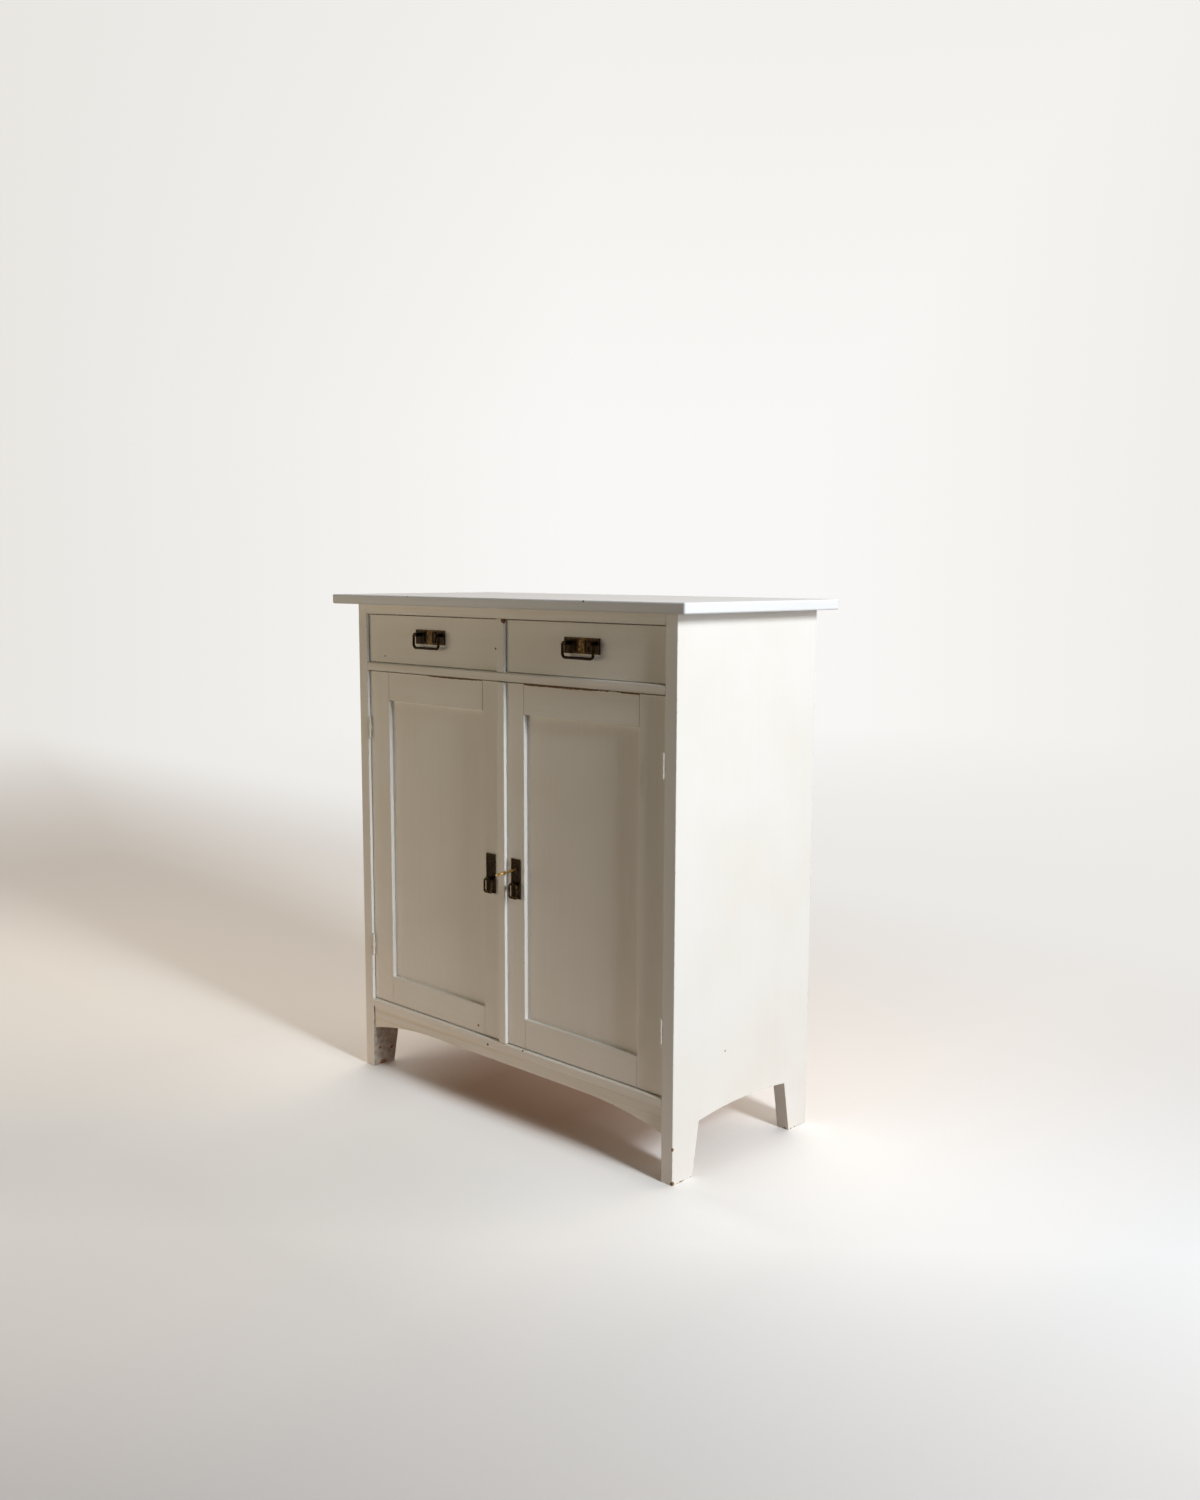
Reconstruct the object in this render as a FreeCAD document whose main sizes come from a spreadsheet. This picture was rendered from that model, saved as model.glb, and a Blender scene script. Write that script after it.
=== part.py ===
import FreeCAD, Part
import math
import os
import re

import Sketcher

# A white-painted pine cupboard: two drawers side by side over two framed doors.
# Millimetres, +Z up, the front faces -Y. The origin is on the floor, under the middle of the whole piece.

Vector = FreeCAD.Vector
Rotation = FreeCAD.Rotation

# Driving dimensions. Every size that can be set by itself is written here once.
SIZES = {
    # Carcass boards
    "carcass_width": 1000,
    "carcass_depth": 452,
    "side_thickness": 30,
    "top_thickness": 22,
    "top_side_overhang": 50,
    "top_front_overhang": 39,
    "top_back_overhang": 7,
    "top_rounding": 4,
    "board_thickness": 20,
    "board_rounding": 4,
    "bottom_height": 153,
    "door_opening_height": 806,
    "drawer_opening_height": 114,
    "top_rail_height": 23,
    "rail_depth": 60,
    "housing_depth": 8,
    "housing_stop": 15,
    "divider_width": 22,
    "face_recess": 7,
    "back_thickness": 10,
    "back_rebate": 12,
    "back_board_gap": 0.6,
    "rear_rail_depth": 20,
    "rear_rail_height": 40,
    "runner_rail_depth": 40,
    "runner_width": 24,
    "centre_runner_width": 64,
    "shelf_rise": 372,
    "shelf_setback": 64,
    "shelf_play": 0.5,
    "cleat_width": 20,
    "cleat_height": 25,
    "arris": 0.7,
    # Feet and apron
    "foot_depth": 62,
    "foot_taper": 19,
    "arch_spring_height": 112,
    "arch_rise": 10,
    "apron_thickness": 18,
    "apron_setback": 4,
    "apron_height": 55,
    "apron_arch_rise": 28,
    "apron_flank": 220,
    # Doors
    "door_gap": 2,
    "meeting_gap": 1.5,
    "door_thickness": 22,
    "hinge_stile_width": 71,
    "left_meeting_stile_width": 53,
    "right_meeting_stile_width": 77,
    "door_rail_width": 66,
    "panel_thickness": 8,
    "panel_setback": 9,
    "panel_play": 1,
    "groove_depth": 10,
    "strip_width": 21.5,
    "strip_thickness": 7,
    "strip_gap": 0.8,
    "strip_rounding": 1.5,
    # Hinges and the screws of all fittings
    "hinge_height": 50,
    "hinge_inset": 135,
    "knuckle_radius": 3.5,
    "knuckle_gap": 0.3,
    "knuckle_sink": 0.2,
    "hinge_pin_radius": 1.6,
    "hinge_pin_setback": 2,
    "hinge_pin_head": 0.8,
    "running_play": 0.05,
    "leaf_thickness": 1.5,
    "leaf_width": 20,
    "screw_radius": 1.6,
    "screw_head_radius": 3.1,
    "screw_head_depth": 1.5,
    "screw_slot_radius": 0.5,
    "screw_length": 14,
    "screw_end_margin": 9,
    "screw_edge_margin": 8,
    # Door plates and their drop bails
    "door_plate_offset": 29.75,
    "door_plate_rise": 376.8,
    "door_plate_width": 28,
    "door_plate_height": 87.5,
    "plate_thickness": 1.8,
    "plate_rim": 2.4,
    "plate_rim_rise": 0.9,
    "pierced_hole_radius": 1.8,
    "pierced_hole_pitch": 6,
    "pierced_margin": 4.8,
    "door_bail_fall": 10.8,
    "door_bail_standoff": 10,
    "door_bail_width": 24,
    "door_bail_drop": 31,
    "door_bail_wire": 2.4,
    "door_bail_corner": 5,
    "lug_width": 7,
    "lug_height": 8,
    "lug_nose": 3.6,
    "lug_slack": 0.5,
    # Lock and key
    "key_rise": 22.5,
    "key_seat": 5.25,
    "key_reach": 58,
    "key_droop": 4,
    "key_play": 0.3,
    "key_shank_radius": 2.5,
    "key_bow_radius": 9,
    "key_bow_wire": 2.2,
    "key_bow_roll": 20,
    "key_collar_radius": 4,
    "key_collar_length": 4,
    "key_bit_reach": 11,
    "key_bit_length": 6,
    "key_bit_thickness": 2.6,
    "keyhole_radius": 4,
    "keyhole_slot_width": 4,
    "key_bore_radius": 5,
    "lock_width": 70,
    "lock_height": 52,
    "lock_depth": 12,
    "lock_wall": 1.5,
    "lock_inset": 1,
    "lock_flange_height": 10,
    "lock_bolt_end_gap": 1,
    "lock_bolt_thickness": 6,
    "lock_bolt_height": 12,
    "lock_bolt_setback": 2,
    "lock_bolt_throw": 12,
    "lock_bite": 3,
    "lock_notch_half": 6,
    "lock_notch_room": 1,
    # Slide bolts inside the left door
    "slide_bolt_radius": 4,
    "slide_bolt_length": 95,
    "slide_bolt_travel": 14,
    "slide_bolt_standoff": 7,
    "slide_bolt_end_gap": 2,
    "slide_knob_radius": 3,
    "slide_knob_length": 14,
    "guide_width": 18,
    "guide_height": 12,
    "guide_spacing": 56,
    "guide_cover": 2,
    "keeper_play": 0.5,
    # Drawers
    "drawer_gap": 1.5,
    "drawer_top_gap": 2,
    "drawer_bottom_gap": 1,
    "drawer_lift": 0.3,
    "drawer_play": 2,
    "drawer_front_thickness": 20,
    "drawer_side_thickness": 12,
    "drawer_side_drop": 16,
    "drawer_back_gap": 45,
    "drawer_lap": 8,
    "drawer_groove": 5,
    "drawer_bottom_thickness": 6,
    "drawer_bottom_rise": 9,
    "drawer_bottom_play": 0.5,
    "drawer_back_drop": 10,
    # Drawer pulls
    "pull_plate_width": 100,
    "pull_plate_height": 33,
    "pull_plate_rise": 64.7,
    "pull_field_width": 20,
    "pull_field_height": 25,
    "pull_field_rise": 1.5,
    "pull_bead_radius": 2.5,
    "pull_bead_offset": 19,
    "bail_half_width": 43.4,
    "bail_pivot_rise": 5.3,
    "bail_standoff": 14,
    "bail_drop": 30,
    "bail_wire": 3,
    "bail_corner": 8,
    "bail_play": 0.4,
    "post_radius": 4.5,
    "post_nose": 4.5,
    "post_shank_radius": 2.4,
    "nut_circumradius": 6,
    "nut_height": 4,
    "nut_tail": 2,
}

# Places worked out from the sizes. A formula may use any size, and any place above it.
LAYOUT = {
    "half_width": "carcass_width / 2",
    "inner_half": "half_width - side_thickness",
    "key_length": "door_thickness + key_seat + key_reach",
    "key_stand": "(key_length - key_bow_wire) * cos(key_droop) + key_bow_wire - key_seat - door_thickness",
    "front_reach": "max(top_front_overhang; key_stand - face_recess)",
    "front_y": "(front_reach - carcass_depth - top_back_overhang) / 2",
    "back_y": "front_y + carcass_depth",
    "inside_back_y": "back_y - back_thickness",
    "inside_depth": "inside_back_y - front_y",
    "face_y": "front_y + face_recess",
    "door_back_y": "face_y + door_thickness",
    "bottom_top": "bottom_height + board_thickness",
    "mid_z": "bottom_top + door_opening_height",
    "mid_top": "mid_z + board_thickness",
    "top_rail_z": "mid_top + drawer_opening_height",
    "carcass_height": "top_rail_z + top_rail_height",
    # Side outline, across the depth
    "arch_front": "foot_depth + foot_taper",
    "arch_back": "carcass_depth - arch_front",
    "rear_foot_front": "carcass_depth - foot_depth",
    "arch_radius": "((arch_back - arch_front) ^ 2 / 4 + arch_rise ^ 2) / (2 * arch_rise)",
    # Back, shelf and drawer frame
    "back_height": "carcass_height - bottom_height",
    "back_board_pitch": "2 * (inner_half + back_rebate)",
    "shelf_y": "front_y + shelf_setback",
    "shelf_depth": "inside_back_y - shelf_y",
    "shelf_z": "bottom_top + shelf_rise",
    "runner_y": "front_y + rail_depth",
    "runner_length": "inside_back_y - runner_rail_depth - runner_y",
    # Apron outline, across the width
    "apron_width": "2 * inner_half",
    "apron_end_z": "bottom_height - apron_height",
    "apron_arch_z": "apron_end_z + apron_arch_rise",
    "apron_flat_end": "apron_width - apron_flank",
    "apron_radius": "(apron_flank ^ 2 + apron_arch_rise ^ 2) / (2 * apron_arch_rise)",
    # Doors
    "door_edge": "inner_half - door_gap",
    "hinge_sight": "door_edge - hinge_stile_width",
    "meeting_x": "-strip_width / 2",
    "left_meeting_edge": "meeting_x - meeting_gap",
    "left_sight": "left_meeting_edge - left_meeting_stile_width",
    "right_sight": "meeting_x + right_meeting_stile_width",
    "door_bottom": "bottom_top + door_gap",
    "door_top": "mid_z - door_gap",
    "door_height": "door_top - door_bottom",
    "panel_y": "face_y + panel_setback",
    "panel_z": "door_bottom + door_rail_width",
    "panel_height": "door_height - 2 * door_rail_width",
    "panel_edge": "groove_depth - panel_play",
    "strip_y": "face_y - strip_thickness",
    "strip_z": "bottom_top + strip_gap",
    # Hinges
    "hinge_pin_x": "inner_half - knuckle_radius + knuckle_sink",
    "hinge_pin_y": "front_y + hinge_pin_setback",
    "upper_hinge_z": "door_top - hinge_inset",
    "lower_hinge_z": "door_bottom + hinge_inset",
    "knuckle_length": "(hinge_height - 2 * knuckle_gap) / 3",
    "knuckle_half": "knuckle_length / 2",
    "pin_cap_radius": "knuckle_radius - 2 * knuckle_sink",
    "notch_depth": "hinge_pin_setback + knuckle_radius + knuckle_gap",
    "notch_height": "knuckle_length + 2 * knuckle_gap",
    "screw_spread": "hinge_height / 2 - screw_end_margin",
    "screw_inset": "leaf_width - screw_edge_margin",
    # Plates on the doors and the drawers
    "plate_y": "face_y - plate_thickness",
    "rim_y": "plate_y - plate_rim_rise",
    "rim_depth": "plate_thickness + plate_rim_rise",
    "door_plate_x": "strip_width / 2 + door_plate_offset",
    "door_plate_z": "door_bottom + door_plate_rise",
    "door_plate_left": "-door_plate_x - door_plate_width / 2",
    "door_plate_low": "door_plate_z - door_plate_height / 2",
    "pierced_z": "door_plate_low + door_plate_height - plate_rim - pierced_margin",
    # Door bail, across and down from the middle of its top bar
    "door_bail_y": "face_y - door_bail_standoff",
    "door_bail_z": "door_plate_z - door_bail_fall",
    "lug_left": "-door_plate_x - lug_width / 2",
    "bail_side": "door_bail_width / 2",
    "bail_top_end": "lug_width / 2 + lug_slack",
    "door_bail_shoulder": "bail_side - bail_top_end",
    "bail_side_top": "-door_bail_shoulder",
    "bail_side_low": "door_bail_corner - door_bail_drop",
    "bail_low_end": "bail_side - door_bail_corner",
    "bail_low": "-door_bail_drop",
    "bail_low_start": "-bail_low_end",
    "bail_far_side": "-bail_side",
    "bail_top_start": "-bail_top_end",
    # Lock and key
    "lock_x": "meeting_x + lock_inset",
    "key_y": "door_back_y + key_seat",
    "key_z": "door_plate_z + key_rise",
    "key_tip": "lock_depth - lock_wall - key_seat - key_play",
    "key_hole_z": "key_z - tan(key_droop) * (door_thickness / 2 + key_seat)",
    "key_slot_x": "door_plate_x - keyhole_slot_width / 2",
    "key_slot_z": "key_hole_z - key_bit_reach",
    "bow_y": "key_bow_radius + key_bow_wire - key_length",
    "collar_y": "bow_y + key_bow_radius",
    "lock_low": "key_z - lock_height / 2",
    "lock_high": "key_z + lock_height / 2",
    "lock_bolt_y": "door_back_y + lock_bolt_setback",
    "lock_bolt_z": "key_z + key_bit_reach - lock_bite",
    "lock_bolt_length": "lock_width - lock_wall - lock_bolt_end_gap",
    "lock_notch_x": "door_plate_x + lock_bolt_throw / 2 - lock_notch_half",
    # Slide bolts
    "slide_x": "(left_meeting_edge + left_sight) / 2",
    "slide_y": "door_back_y + slide_bolt_standoff",
    "upper_slide_z": "door_top - slide_bolt_end_gap - slide_bolt_length",
    "lower_slide_z": "door_bottom + slide_bolt_end_gap",
    "keeper_radius": "slide_bolt_radius + keeper_play",
    "guide_depth": "slide_bolt_standoff + slide_bolt_radius + guide_cover",
    # Left drawer
    "drawer_front_left": "-inner_half + drawer_gap",
    "drawer_front_width": "inner_half - divider_width / 2 - 2 * drawer_gap",
    "drawer_front_z": "mid_top + drawer_bottom_gap",
    "drawer_front_height": "top_rail_z - drawer_top_gap - drawer_front_z",
    "drawer_front_back": "face_y + drawer_front_thickness",
    "drawer_left": "-inner_half + drawer_play",
    "drawer_right": "-divider_width / 2 - drawer_play",
    "drawer_inner_left": "drawer_left + drawer_side_thickness",
    "drawer_inner_right": "drawer_right - drawer_side_thickness",
    "drawer_z": "mid_top + drawer_lift",
    "drawer_side_y": "drawer_front_back - drawer_lap",
    "drawer_side_height": "drawer_opening_height - drawer_side_drop",
    "drawer_end_y": "inside_back_y - drawer_back_gap",
    "drawer_back_y": "drawer_end_y - drawer_side_thickness",
    "drawer_floor_z": "drawer_z + drawer_bottom_rise",
    "drawer_floor_top": "drawer_floor_z + drawer_bottom_thickness",
    "drawer_groove_left": "drawer_inner_left - drawer_groove",
    "drawer_groove_y": "drawer_front_back - drawer_groove",
    "drawer_groove_width": "drawer_inner_right + drawer_groove - drawer_groove_left",
    "drawer_groove_depth": "drawer_end_y - drawer_groove_y",
    "drawer_back_height": "drawer_z + drawer_side_height - drawer_back_drop - drawer_floor_top",
    "drawer_centre": "-(inner_half + divider_width / 2) / 2",
    # Drawer pull; its bail runs from the inner end of its right pin
    "pull_plate_z": "drawer_front_z + pull_plate_rise",
    "pull_left": "drawer_centre - pull_plate_width / 2",
    "pull_low": "pull_plate_z - pull_plate_height / 2",
    "pull_field_low": "pull_plate_z - pull_field_height / 2",
    "bail_y": "face_y - bail_standoff",
    "bail_pivot_z": "pull_plate_z + bail_pivot_rise",
    "bail_shoulder": "bail_wire + bail_play",
    "post_half": "bail_half_width - bail_wire - bail_play - post_radius",
    "post_length": "bail_standoff + post_nose - plate_thickness",
    "post_shank_length": "drawer_front_thickness + plate_thickness + nut_height + nut_tail",
    "pin_length": "bail_half_width - post_half + post_radius",
    "pin_start_x": "drawer_centre + bail_half_width - pin_length",
    "pin_end": "pin_length - bail_shoulder",
    "arm_top": "-bail_shoulder",
    "arm_low": "bail_corner - bail_drop",
    "bar_end": "pin_length - bail_corner",
    "bar_low": "-bail_drop",
    "far_arm": "pin_length - 2 * bail_half_width",
    "bar_start": "far_arm + bail_corner",
    "far_pin": "far_arm + bail_shoulder",
    "far_pin_end": "far_arm + pin_length",
}

BACK_BOARDS = 6
PIERCED_ROWS = 2
PIERCED_COLUMNS = 3
NUT_SIDES = 4
TOUCH = 1e-6

# Turns a piece that points up +Z so that it points another way.
POINTING = {
    "up": Rotation(),
    "right": Rotation(Vector(0, 1, 0), 90),
    "left": Rotation(Vector(0, 1, 0), -90),
    "back": Rotation(Vector(1, 0, 0), -90),
    "front": Rotation(Vector(1, 0, 0), 90),
}

doc = FreeCAD.newDocument("cupboard")
sizes = doc.addObject("Spreadsheet::Sheet", "sizes")
layout = doc.addObject("Spreadsheet::Sheet", "layout")
nodes = []


def linked(text, home=""):
    """Names the sheet of every size and place in a formula."""
    def with_sheet(match):
        word = match.group(0)
        if word in SIZES:
            return "sizes." + word
        if word in LAYOUT and home != "layout":
            return "layout." + word
        return word
    return re.sub(r"[a-z][a-z_]*", with_sheet, text)


def number(text):
    """The value of one size, one place or one plain number."""
    if text in SIZES:
        return float(sizes.get(text))
    if text in LAYOUT:
        return float(layout.get(text))
    return float(text)


def fill_sheets():
    for row, (alias, value) in enumerate(SIZES.items(), 1):
        sizes.set(f"A{row}", str(value))
        sizes.setAlias(f"A{row}", alias)
    doc.recompute()
    for row, (alias, formula) in enumerate(LAYOUT.items(), 1):
        layout.set(f"A{row}", "=" + linked(formula, "layout"))
        layout.setAlias(f"A{row}", alias)
    doc.recompute()


def bind(item, **formulas):
    for prop, text in formulas.items():
        item.setExpression(prop, linked(text))
    return item


def place(item, at, rotation=POINTING["up"]):
    item.Placement = FreeCAD.Placement(Vector(), rotation)
    for axis, text in zip("xyz", at):
        item.setExpression(f"Placement.Base.{axis}", linked(text))
    return item


def keep(item):
    """Marks a finished piece; its label names its file."""
    nodes.append(item)
    return item


def keep_pair(item, name):
    """Keeps a left-hand piece and the right-hand one that mirrors it."""
    keep(item)
    return keep(mirrored(name, item))


def box(name, size, at):
    item = doc.addObject("Part::Box", name)
    bind(item, Length=size[0], Width=size[1], Height=size[2])
    return place(item, at)


def rod(name, radius, length, at, pointing="up"):
    item = doc.addObject("Part::Cylinder", name)
    bind(item, Radius=radius, Height=length)
    return place(item, at, POINTING[pointing])


def fuse(name, *items):
    item = doc.addObject("Part::MultiFuse", name)
    item.Shapes = list(items)
    item.Refine = True
    return item


def cut(name, base, *tools):
    item = doc.addObject("Part::Cut", name)
    item.Base = base
    item.Tool = tools[0] if len(tools) == 1 else fuse(name + "_tools", *tools)
    item.Refine = True
    return item


def group(name, items):
    item = doc.addObject("Part::Compound", name)
    item.Links = list(items)
    return item


def mirrored(name, source):
    item = doc.addObject("Part::Mirroring", name)
    item.Source = source
    item.Normal = Vector(1, 0, 0)
    return item


def eased(name, base, kind, size, chosen):
    """Rounds ("Fillet") or bevels ("Chamfer") the chosen edges of a piece."""
    doc.recompute()
    item = doc.addObject("Part::" + kind, name)
    item.Base = base
    amount = number(size)
    edges = enumerate(base.Shape.Edges, 1)
    item.Edges = [(index, amount, amount) for index, edge in edges if chosen(edge)]
    return item


def on_front(item):
    """Chooses the edges that lie in a piece's foremost plane."""
    doc.recompute()
    front = item.Shape.BoundBox.YMin
    return lambda edge: all(abs(corner.Y - front) < TOUCH for corner in edge.Vertexes)


def front_bevelled(name, blank):
    return eased(name, blank, "Chamfer", "arris", on_front(blank))


def front_rounded(name, blank, rounding, longer_than):
    """Rounds the long front edges of a board."""
    chosen = on_front(blank)
    shortest = number(longer_than)
    return eased(name, blank, "Fillet", rounding, lambda edge: chosen(edge) and edge.Length > shortest)


def run_between(start, end, bend):
    """A straight run, or an arc of radius bend that bulges to the left of the way it goes."""
    if bend is None:
        return Part.LineSegment(start, end)
    chord = end - start
    outward = Vector(-chord.y, chord.x, 0).normalize()
    radius = number(bend)
    sagitta = radius - math.sqrt(radius ** 2 - (chord.Length / 2) ** 2)
    return Part.Arc(start, (start + end) / 2 + outward * sagitta, end)


def fix_end(sketch, run, end, corner):
    """Ties one end of a run to its corner's place."""
    for kind, text in zip(("DistanceX", "DistanceY"), corner):
        rule = sketch.addConstraint(Sketcher.Constraint(kind, -1, 1, run, end, number(text)))
        sketch.setExpression(f"Constraints[{rule}]", linked(text))


def fix_radius(sketch, run, radius):
    rule = sketch.addConstraint(Sketcher.Constraint("Radius", run, number(radius)))
    sketch.setExpression(f"Constraints[{rule}]", linked(radius))


def outline(sketch, corners, closed=True):
    """Draws runs through corners (across, up, bend), where bend is the radius of the run to the next one."""
    spots = [Vector(number(across), number(up), 0) for across, up, bend in corners]
    count = len(corners) if closed else len(corners) - 1
    runs = []
    ends = []
    for index in range(count):
        start = spots[index]
        end = spots[(index + 1) % len(spots)]
        run = sketch.addGeometry(run_between(start, end, corners[index][2]))
        forward = (sketch.getPoint(run, 1) - start).Length < TOUCH
        runs.append(run)
        ends.append((1, 2) if forward else (2, 1))
    for index, run in enumerate(runs):
        following = (index + 1) % count
        if closed or following:
            joint = (run, ends[index][1], runs[following], ends[following][0])
            sketch.addConstraint(Sketcher.Constraint("Coincident", *joint))
        fix_end(sketch, run, ends[index][0], corners[index])
        if corners[index][2] is not None:
            fix_radius(sketch, run, corners[index][2])
    if not closed:
        fix_end(sketch, runs[-1], ends[-1][1], corners[-1])
    return runs


def new_sketch(body, name, plane):
    sketch = body.newObject("Sketcher::SketchObject", name)
    planes = {feature.Role: feature for feature in body.Origin.OriginFeatures}
    sketch.AttachmentSupport = [(planes[plane], "")]
    sketch.MapMode = "FlatFace"
    return sketch


def sawn_board(name, plane, corners, thickness, at):
    """A board sawn to an outline and as thick as stated."""
    body = doc.addObject("PartDesign::Body", name)
    sketch = new_sketch(body, name + "_outline", plane)
    outline(sketch, corners)
    pad = body.newObject("PartDesign::Pad", name + "_board")
    pad.Profile = sketch
    pad.Reversed = plane == "XZ_Plane"
    bind(pad, Length=thickness)
    return place(body, at)


def bent_wire(name, corners, wire, at, closed=False):
    """A round wire bent along a path in an upright plane; it starts at (0, 0) and sets off along X."""
    body = doc.addObject("PartDesign::Body", name)
    path = new_sketch(body, name + "_path", "XZ_Plane")
    runs = outline(path, corners, closed)
    section = new_sketch(body, name + "_section", "YZ_Plane")
    circle = section.addGeometry(Part.Circle(Vector(), Vector(0, 0, 1), number(wire)))
    section.addConstraint(Sketcher.Constraint("Coincident", circle, 3, -1, 1))
    fix_radius(section, circle, wire)
    pipe = body.newObject("PartDesign::AdditivePipe", name + "_wire")
    pipe.Profile = section
    pipe.Spine = (path, [f"Edge{index}" for index in range(1, len(runs) + 1)])
    return place(body, at)


def screw_blank(name, at, pointing, play="0"):
    """A countersunk wood screw, its head flush at the place given; play widens it into its own hole."""
    radius = f"screw_radius + {play}"
    head = doc.addObject("Part::Cone", name + "_head")
    bind(head, Radius1=f"screw_head_radius + {play}", Radius2=radius, Height="screw_head_depth")
    place(head, at, POINTING[pointing])
    shank = rod(name + "_shank", radius, f"screw_length + {play}", at, pointing)
    return fuse(name, head, shank)


def screw_hole(name, at, pointing):
    return screw_blank(name, at, pointing, "running_play")


def screw(name, at, pointing):
    """A wood screw with a round-bottomed slot filed across its head."""
    across, turn = (0, "right") if pointing == "front" else (1, "back")
    start = list(at)
    start[across] = f"{at[across]} - screw_head_radius"
    slot = rod(name + "_slot", "screw_slot_radius", "2 * screw_head_radius", start, turn)
    return cut(name, screw_blank(name + "_blank", at, pointing), slot)


def housed_board(name, y, depth, z, height, stop="0"):
    """A board between the sides, with a tongue at each end, and the slot for its left tongue."""
    middle = box(name + "_middle", ("2 * inner_half", depth, height), ("-inner_half", y, z))
    tongue_size = ("housing_depth", f"{depth} - {stop}", height)
    left_at = ("-inner_half - housing_depth", f"{y} + {stop}", z)
    left = box(name + "_left_tongue", tongue_size, left_at)
    right = box(name + "_right_tongue", tongue_size, ("inner_half", f"{y} + {stop}", z))
    slot = box(name + "_slot", tongue_size, left_at)
    return fuse(name + "_blank", middle, left, right), slot


def cross_boards():
    """The boards between the sides; gives the slots that they need in the left side."""
    bottom, bottom_slot = housed_board(
        "bottom", "front_y", "inside_depth", "bottom_height", "board_thickness", "housing_stop")
    keeper = rod("lower_keeper", "keeper_radius", "slide_bolt_travel",
                 ("slide_x", "slide_y", "bottom_top - slide_bolt_travel"))
    bored = cut("bottom_bored", bottom, keeper)
    keep(front_rounded("bottom_board", bored, "board_rounding", "inner_half"))

    mid, mid_slot = housed_board("mid", "front_y", "rail_depth", "mid_z", "board_thickness", "housing_stop")
    keeper = rod("upper_keeper", "keeper_radius", "slide_bolt_travel", ("slide_x", "slide_y", "mid_z"))
    bored = cut("mid_bored", mid, keeper)
    keep(front_rounded("mid_rail", bored, "board_rounding", "inner_half"))

    top, top_slot = housed_board(
        "top_front", "front_y", "rail_depth", "top_rail_z", "top_rail_height", "housing_stop")
    keep(front_bevelled("top_front_rail", top))

    rear, rear_slot = housed_board(
        "top_rear", "inside_back_y - rear_rail_depth", "rear_rail_depth",
        "carcass_height - rear_rail_height", "rear_rail_height")
    rear.Label = "top_rear_rail"
    keep(rear)

    runner, runner_slot = housed_board(
        "runner_rear", "inside_back_y - runner_rail_depth", "runner_rail_depth", "mid_z", "board_thickness")
    runner.Label = "runner_rear_rail"
    keep(runner)
    return [bottom_slot, mid_slot, top_slot, rear_slot, runner_slot]


def hinge(name, z):
    """One hinge of the left pair: its leaves, its pin, its screws and what they cut out of the wood."""
    low = f"{z} - hinge_height / 2"
    middle = f"{z} - knuckle_half"
    axis = ("-hinge_pin_x", "hinge_pin_y")
    leaf_size = ("leaf_thickness", "leaf_width", "hinge_height")
    frame_at = ("-inner_half - leaf_thickness", "front_y", low)
    door_at = ("-door_edge", "face_y", low)
    bore = rod(name + "_bore", "hinge_pin_radius + running_play", "hinge_height", (*axis, low))

    made = {"frame_screws": [], "frame_holes": [], "door_screws": [], "door_holes": []}
    for rise in ("- screw_spread", "+ screw_spread"):
        frame_spot = ("-inner_half", "front_y + screw_inset", f"{z} {rise}")
        door_spot = ("-door_edge", "face_y + screw_inset", f"{z} {rise}")
        made["frame_screws"].append(screw(name + "_frame_screw", frame_spot, "left"))
        made["frame_holes"].append(screw_hole(name + "_frame_hole", frame_spot, "left"))
        made["door_screws"].append(screw(name + "_door_screw", door_spot, "right"))
        made["door_holes"].append(screw_hole(name + "_door_hole", door_spot, "right"))

    plate = box(name + "_frame_plate", leaf_size, frame_at)
    notch = box(name + "_notch", ("leaf_thickness", "notch_depth", "notch_height"),
                ("-inner_half - leaf_thickness", "front_y", f"{middle} - knuckle_gap"))
    high = f"{z} + knuckle_half + knuckle_gap"
    low_knuckle = rod(name + "_low_knuckle", "knuckle_radius", "knuckle_length", (*axis, low))
    high_knuckle = rod(name + "_high_knuckle", "knuckle_radius", "knuckle_length", (*axis, high))
    notched = cut(name + "_frame_notched", plate, notch)
    rolled = fuse(name + "_frame_rolled", notched, low_knuckle, high_knuckle)
    made["frame_leaf"] = cut(name + "_frame_leaf", rolled, bore, *made["frame_holes"])

    plate = box(name + "_door_plate", leaf_size, door_at)
    neck = box(name + "_neck", ("leaf_thickness", "face_y - hinge_pin_y", "knuckle_length"),
               ("-door_edge", "hinge_pin_y", middle))
    knuckle = rod(name + "_mid_knuckle", "knuckle_radius", "knuckle_length", (*axis, middle))
    rolled = fuse(name + "_door_rolled", plate, neck, knuckle)
    made["door_leaf"] = cut(name + "_door_leaf", rolled, bore, *made["door_holes"])

    shaft = rod(name + "_pin_shaft", "hinge_pin_radius", "hinge_height", (*axis, low))
    foot = rod(name + "_pin_foot", "pin_cap_radius", "hinge_pin_head", (*axis, f"{low} - hinge_pin_head"))
    cap = rod(name + "_pin_cap", "pin_cap_radius", "hinge_pin_head", (*axis, f"{z} + hinge_height / 2"))
    made["pin"] = fuse(name + "_pin", shaft, foot, cap)
    made["side_cuts"] = [box(name + "_side_mortise", leaf_size, frame_at), *made["frame_holes"]]
    made["stile_cuts"] = [box(name + "_stile_mortise", leaf_size, door_at), *made["door_holes"]]
    return made


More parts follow.
